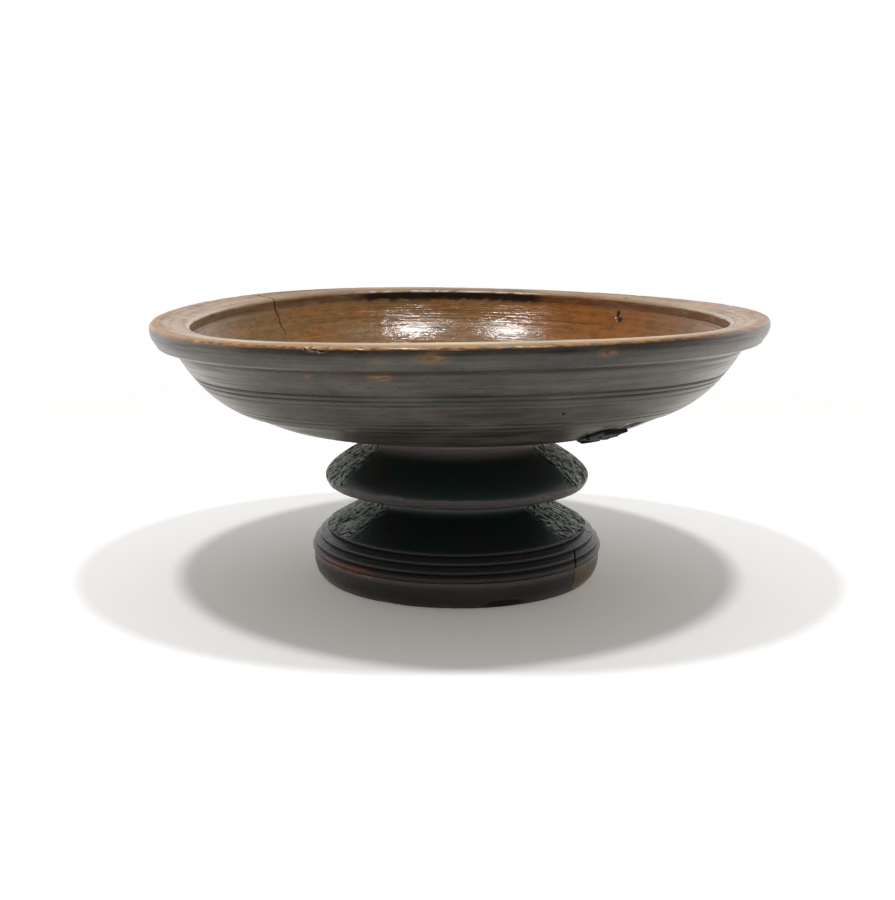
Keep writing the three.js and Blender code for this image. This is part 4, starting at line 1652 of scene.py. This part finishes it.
@dataclass
class FootRing:
    """The band on the floor and the length of other wood let into it, with the pegs' holes."""

    overhang: float = 1.4  # how far the lowest reed stands out past it
    tuck: float = 4.6  # how much narrower its sole is than its top
    bore_radius: float = 52.0
    sole_pull: Pair = (3.5, 2.5)
    top_pull: Pair = (1.1, -7.8)
    insert_start: float = 52.0
    insert_sweep: float = 50.0
    peg_radius: float = 3.3
    peg_count: int = 6
    peg_sides: int = 32  # of a cutter for their holes
    cutter_reach: float = 5.0  # how far a cutter sticks out above and below
    chip_angle: float = 19.0
    chip_half: float = 15.0
    rubbed_angle: float = -47.0
    angle_step: float = 0.6
    seed: int = 43

    def __post_init__(self) -> None:
        """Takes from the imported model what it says."""
        self.height = node_top("foot_ring")
        self.top_radius = node_reach("foot") - self.overhang
        self.sole_radius = self.top_radius - self.tuck
        self.noise = WoodNoise(self.seed)

    def outline(self) -> Outline:
        """The band's section, from its bore out over the floor and back."""
        sole = np.array([self.sole_radius, 0.0])
        top = np.array([self.top_radius, self.height])
        way = Outline(self.bore_radius, 0.0)
        way.to(*sole, 1.2).mark("sole")
        way.follow(bezier(sole, self.sole_pull, self.top_pull, top), 0.6).mark("top")
        way.to(self.bore_radius, self.height, 4).to(self.bore_radius, 0.0, 1.5)
        return way

    def build(self, name: str, start: float, end: float) -> bpy.types.Object:
        """Turns one length of the band.

        Args:
            name: Name of the piece.
            start: The angle where it starts, in degrees.
            end: The angle where it ends.

        Returns:
            The new object.
        """
        skin = Skin(self.outline(), angles_between(start, end, self.angle_step), whole=False)
        sole = skin.path_at("sole")
        top = skin.path_at("top")
        face = skin.between("sole", "top", 1)
        layers = self.noise.layered(skin.spots, (9, 2.2, 5), 2)
        edge = hump(skin.path, sole + 1, 3.5)
        knocks = rise(self.noise.layered(skin.spots, (6, 6, 3), 3), 0.5, 0.8)
        chip = skin.near(self.chip_angle, sole + 3.4, self.chip_half, 3.6, 0.5)
        skin.sink(edge * knocks * 0.3 + face * 0.2 * layers + chip * (0.3 + 1.2 * layers))
        skin.paint(Paint.DARK, chip)
        # darker towards the sole
        skin.paint(Paint.DARK, 0.3 * rise(skin.path, sole + 4, sole) * face)
        worn = hump(skin.path + 2 * (layers - 0.5), top - 0.6, 2.2, 0.2)
        skin.paint(Paint.RUBBED, 0.62 * worn * hump(turn_from(skin.angle, self.rubbed_angle), 0, 22, 0.4))
        skin.paint(Paint.HANDLED, 0.5 * hump(skin.path, top - 1, 3))
        inner = rise(skin.path, sole - 6, sole - 22) * (skin.height < 0.5)
        skin.paint(Paint.TORN, 0.4 * inner * layers)
        return skin.build(name, MOVEMENT.shrink(FOOT_SHRINKAGE))

    def peg_cutter(self) -> bpy.types.Object:
        """Makes rods in the place of the pegs' holes, long enough to go right through the band."""
        circle = (self.bore_radius + self.sole_radius) / 2
        first = self.insert_start + self.insert_sweep / 2
        sides = self.peg_sides
        corners, faces = [], []
        for index in range(self.peg_count):
            angle = math.radians(first + 360 / self.peg_count * index)
            x = circle * math.sin(angle) - BOWL_DRIFT
            y = -circle * math.cos(angle) * (1 - FOOT_SHRINKAGE)
            start = len(corners)
            for height in (-self.cutter_reach, self.height + self.cutter_reach):
                for step in range(sides):
                    way = math.tau * step / sides
                    side = (x + self.peg_radius * math.cos(way), y + self.peg_radius * math.sin(way), height)
                    corners.append([part * MM for part in side])
            low = list(range(start, start + sides))
            high = list(range(start + sides, start + 2 * sides))
            faces += [low[::-1], high]
            faces += [[low[k], low[(k + 1) % sides], high[(k + 1) % sides], high[k]] for k in range(sides)]
        mesh = bpy.data.meshes.new("peg_holes")
        mesh.from_pydata(corners, [], faces)
        cutter = bpy.data.objects.new("peg_holes", mesh)
        bpy.context.scene.collection.objects.link(cutter)
        return cutter

    def drill(self, band: bpy.types.Object) -> None:
        """Bores the pegs' holes.

        Args:
            band: A length of the band, whose mesh is replaced.
        """
        cutter = self.peg_cutter()
        cut = band.modifiers.new("peg_holes", "BOOLEAN")
        cut.operation = "DIFFERENCE"
        cut.object = cutter
        cut.solver = "EXACT"
        result = bpy.data.meshes.new_from_object(band.evaluated_get(bpy.context.evaluated_depsgraph_get()))
        band.modifiers.clear()
        band.data = result
        bpy.data.objects.remove(cutter)

    def dress(self) -> None:
        """Gives the band and its let-in length their finishes and their places in the frame."""
        gap = math.degrees(JOINT_GAP / self.bore_radius)
        start = self.insert_start
        end = start + self.insert_sweep
        band = self.build("foot_ring_dressed", end + gap, start - gap + 360)
        insert = self.build("foot_ring_insert_dressed", start, end)
        for piece in (band, insert):
            self.drill(piece)
        stand_for(band, "foot_ring", RingWood().material())
        stand_for(insert, "foot_ring_insert", InsertWood().material())


class Joinery:
    """The spindle, its wedges and the ring's pegs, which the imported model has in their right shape."""

    def dress(self) -> None:
        """Gives each its plain wood."""
        finish = JoineryWood().material()
        for node in sorted(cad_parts):
            if node.startswith(("centre_spindle", "spindle_", "ring_peg")):
                dress_node(node, finish)


# The studio


@dataclass
class PhotoCamera:
    """The photograph's camera, as its ellipses give it."""

    photo_width: int = 895
    focal_pixels: float = 1350.9
    distance: float = 799.1
    height: float = 238.1
    pitch: float = 11.6
    roll: float = 0.32
    middle_column: float = 458.9  # of the photograph, where X = 0 falls
    sensor: float = 36.0
    nearest: float = 0.01  # metres from which the camera sees
    farthest: float = 50.0

    def place(self) -> None:
        """Makes the camera and looks through it."""
        lens = bpy.data.cameras.new("photo_camera")
        lens.sensor_fit = "HORIZONTAL"
        lens.sensor_width = self.sensor
        lens.lens = self.focal_pixels / self.photo_width * self.sensor
        lens.shift_x = (self.photo_width / 2 - self.middle_column) / self.photo_width
        lens.clip_start = self.nearest
        lens.clip_end = self.farthest
        camera = bpy.data.objects.new("photo_camera", lens)
        camera.rotation_mode = "XYZ"
        camera.location = (0, -self.distance * MM, self.height * MM)
        camera.rotation_euler = (math.radians(90 - self.pitch), 0, 0)
        camera.rotation_euler.rotate_axis("Z", math.radians(self.roll))
        bpy.context.scene.collection.objects.link(camera)
        bpy.context.scene.camera = camera


@dataclass
class Studio:
    """A pale floor in soft white surroundings, under two lamps."""

    floor_half: float = 6000.0
    floor_colour: str = "edebe7"
    near_floor: float = 330.0  # past this the floor fades into the plain background
    far_floor: float = 900.0
    lamp_height: float = 1350.0
    lamp_side: float = 255.0
    lamp_front: float = 120.0
    lamp_size: float = 120.0
    lamp_watts: float = 6.5
    fill: float = 0.62  # how bright the surroundings are to anything but gloss
    walls_start: Pair = (-0.75, 0.3)  # how far back the white walls come in, as Y of a direction
    ceiling_start: Pair = (0.2, 0.7)  # and how high up the ceiling does, as Z of a direction
    dim_front: float = 0.12  # how bright the room is in front of the object
    dim_above: float = 0.8  # how much less the gloss sees overhead than at the sides
    dim_floor: float = 0.5  # and how much less of the far floor in front of the object
    floor_glow: float = 0.16  # what the camera and the gloss see on top of the floor's own light
    glow_colour: str = "fff6ea"
    white: tuple[float, float, float, float] = (1.0, 1.0, 1.0, 1.0)

    def floor_card(self) -> bpy.types.Material:
        """A pale card near the object that fades into the plain background."""
        material = bpy.data.materials.new("floor_card")
        material.use_nodes = True
        recipe = Recipe(material.node_tree)
        seen = recipe.node("ShaderNodeLightPath", output="Is Camera Ray")
        glossy = recipe.node("ShaderNodeLightPath", output="Is Glossy Ray")
        shade = recipe.mix(seen, colour(self.floor_colour), self.white)
        card = recipe.node("ShaderNodeBsdfDiffuse", inputs={"Color": shade})
        warm = colour(self.glow_colour)
        strength = (seen + glossy) * self.floor_glow
        glow = recipe.node("ShaderNodeEmission", inputs={"Color": warm, "Strength": strength})
        card = recipe.node("ShaderNodeAddShader", inputs={0: card, 1: glow})

        front = recipe.rise(recipe.part(recipe.place(), "Y") * -1, 0, self.near_floor)
        plain = recipe.node("ShaderNodeEmission", inputs={"Color": self.white, "Strength": 1.0})
        dim = recipe.node("ShaderNodeEmission", inputs={"Color": self.white, "Strength": 1 - self.dim_floor})
        plain = recipe.node("ShaderNodeMixShader", inputs={0: glossy * front, 1: plain, 2: dim})
        away = recipe.node("ShaderNodeVectorMath", {"operation": "LENGTH"}, {0: recipe.place()}, "Value")
        share = recipe.rise(away, self.near_floor, self.far_floor)
        both = recipe.node("ShaderNodeMixShader", inputs={0: share, 1: card, 2: plain})
        recipe.node("ShaderNodeOutputMaterial", inputs={"Surface": both}, output=None)
        return material

    def floor(self) -> None:
        """Lays the floor."""
        half = self.floor_half * MM
        corners = [(-half, -half, 0), (half, -half, 0), (half, half, 0), (-half, half, 0)]
        mesh = bpy.data.meshes.new("floor")
        mesh.from_pydata(corners, [], [(0, 1, 2, 3)])
        mesh.materials.append(self.floor_card())
        floor = bpy.data.objects.new("floor", mesh)
        bpy.context.scene.collection.objects.link(floor)

    def lamps(self) -> None:
        """Hangs two lamps overhead, to the left and right of the bowl."""
        for name, side in (("left_lamp", -1), ("right_lamp", 1)):
            light = bpy.data.lights.new(name, "AREA")
            light.shape = "DISK"
            light.size = self.lamp_size * MM
            light.energy = self.lamp_watts
            lamp = bpy.data.objects.new(name, light)
            lamp.location = (side * self.lamp_side * MM, -self.lamp_front * MM, self.lamp_height * MM)
            lamp.rotation_euler = (-lamp.location).to_track_quat("-Z", "Y").to_euler()
            lamp.visible_camera = False
            bpy.context.scene.collection.objects.link(lamp)

    def surroundings(self) -> None:
        """White walls behind and beside the object, and a dimmer room in front of it."""
        world = bpy.data.worlds.new("studio")
        bpy.context.scene.world = world
        world.use_nodes = True
        recipe = Recipe(world.node_tree)
        way = recipe.node("ShaderNodeTexCoord", output="Generated")
        behind = recipe.rise(recipe.part(way, "Y"), *self.walls_start)
        walls = behind * (1 - self.dim_front) + self.dim_front
        overhead = recipe.rise(recipe.part(way, "Z"), *self.ceiling_start)
        seen = recipe.node("ShaderNodeLightPath", output="Is Camera Ray")
        glossy = recipe.node("ShaderNodeLightPath", output="Is Glossy Ray")
        lit = walls * (glossy * (1 - self.fill) + self.fill) * (1 - overhead * glossy * self.dim_above)
        strength = seen + (1 - seen) * lit
        back = recipe.node("ShaderNodeBackground", inputs={"Color": self.white, "Strength": strength})
        recipe.node("ShaderNodeOutputWorld", inputs={"Surface": back}, output=None)

    def build(self) -> None:
        """Sets up everything round the object."""
        self.floor()
        self.lamps()
        self.surroundings()
        bpy.context.scene.view_settings.view_transform = "Standard"


def main() -> None:
    """Builds the studio and dresses each sub-assembly in order."""
    logging.basicConfig(level=logging.INFO, format="%(name)s: %(message)s")
    PhotoCamera().place()
    Studio().build()
    dish = Dish()
    dish.dress()
    UndersidePatch(dish).dress()
    dark_wood = PedestalWood().material()
    WaistDisc().dress(dark_wood)
    ReededFoot().dress(dark_wood)
    FootRing().dress()
    Joinery().dress()


if __name__ == "__main__":
    main()
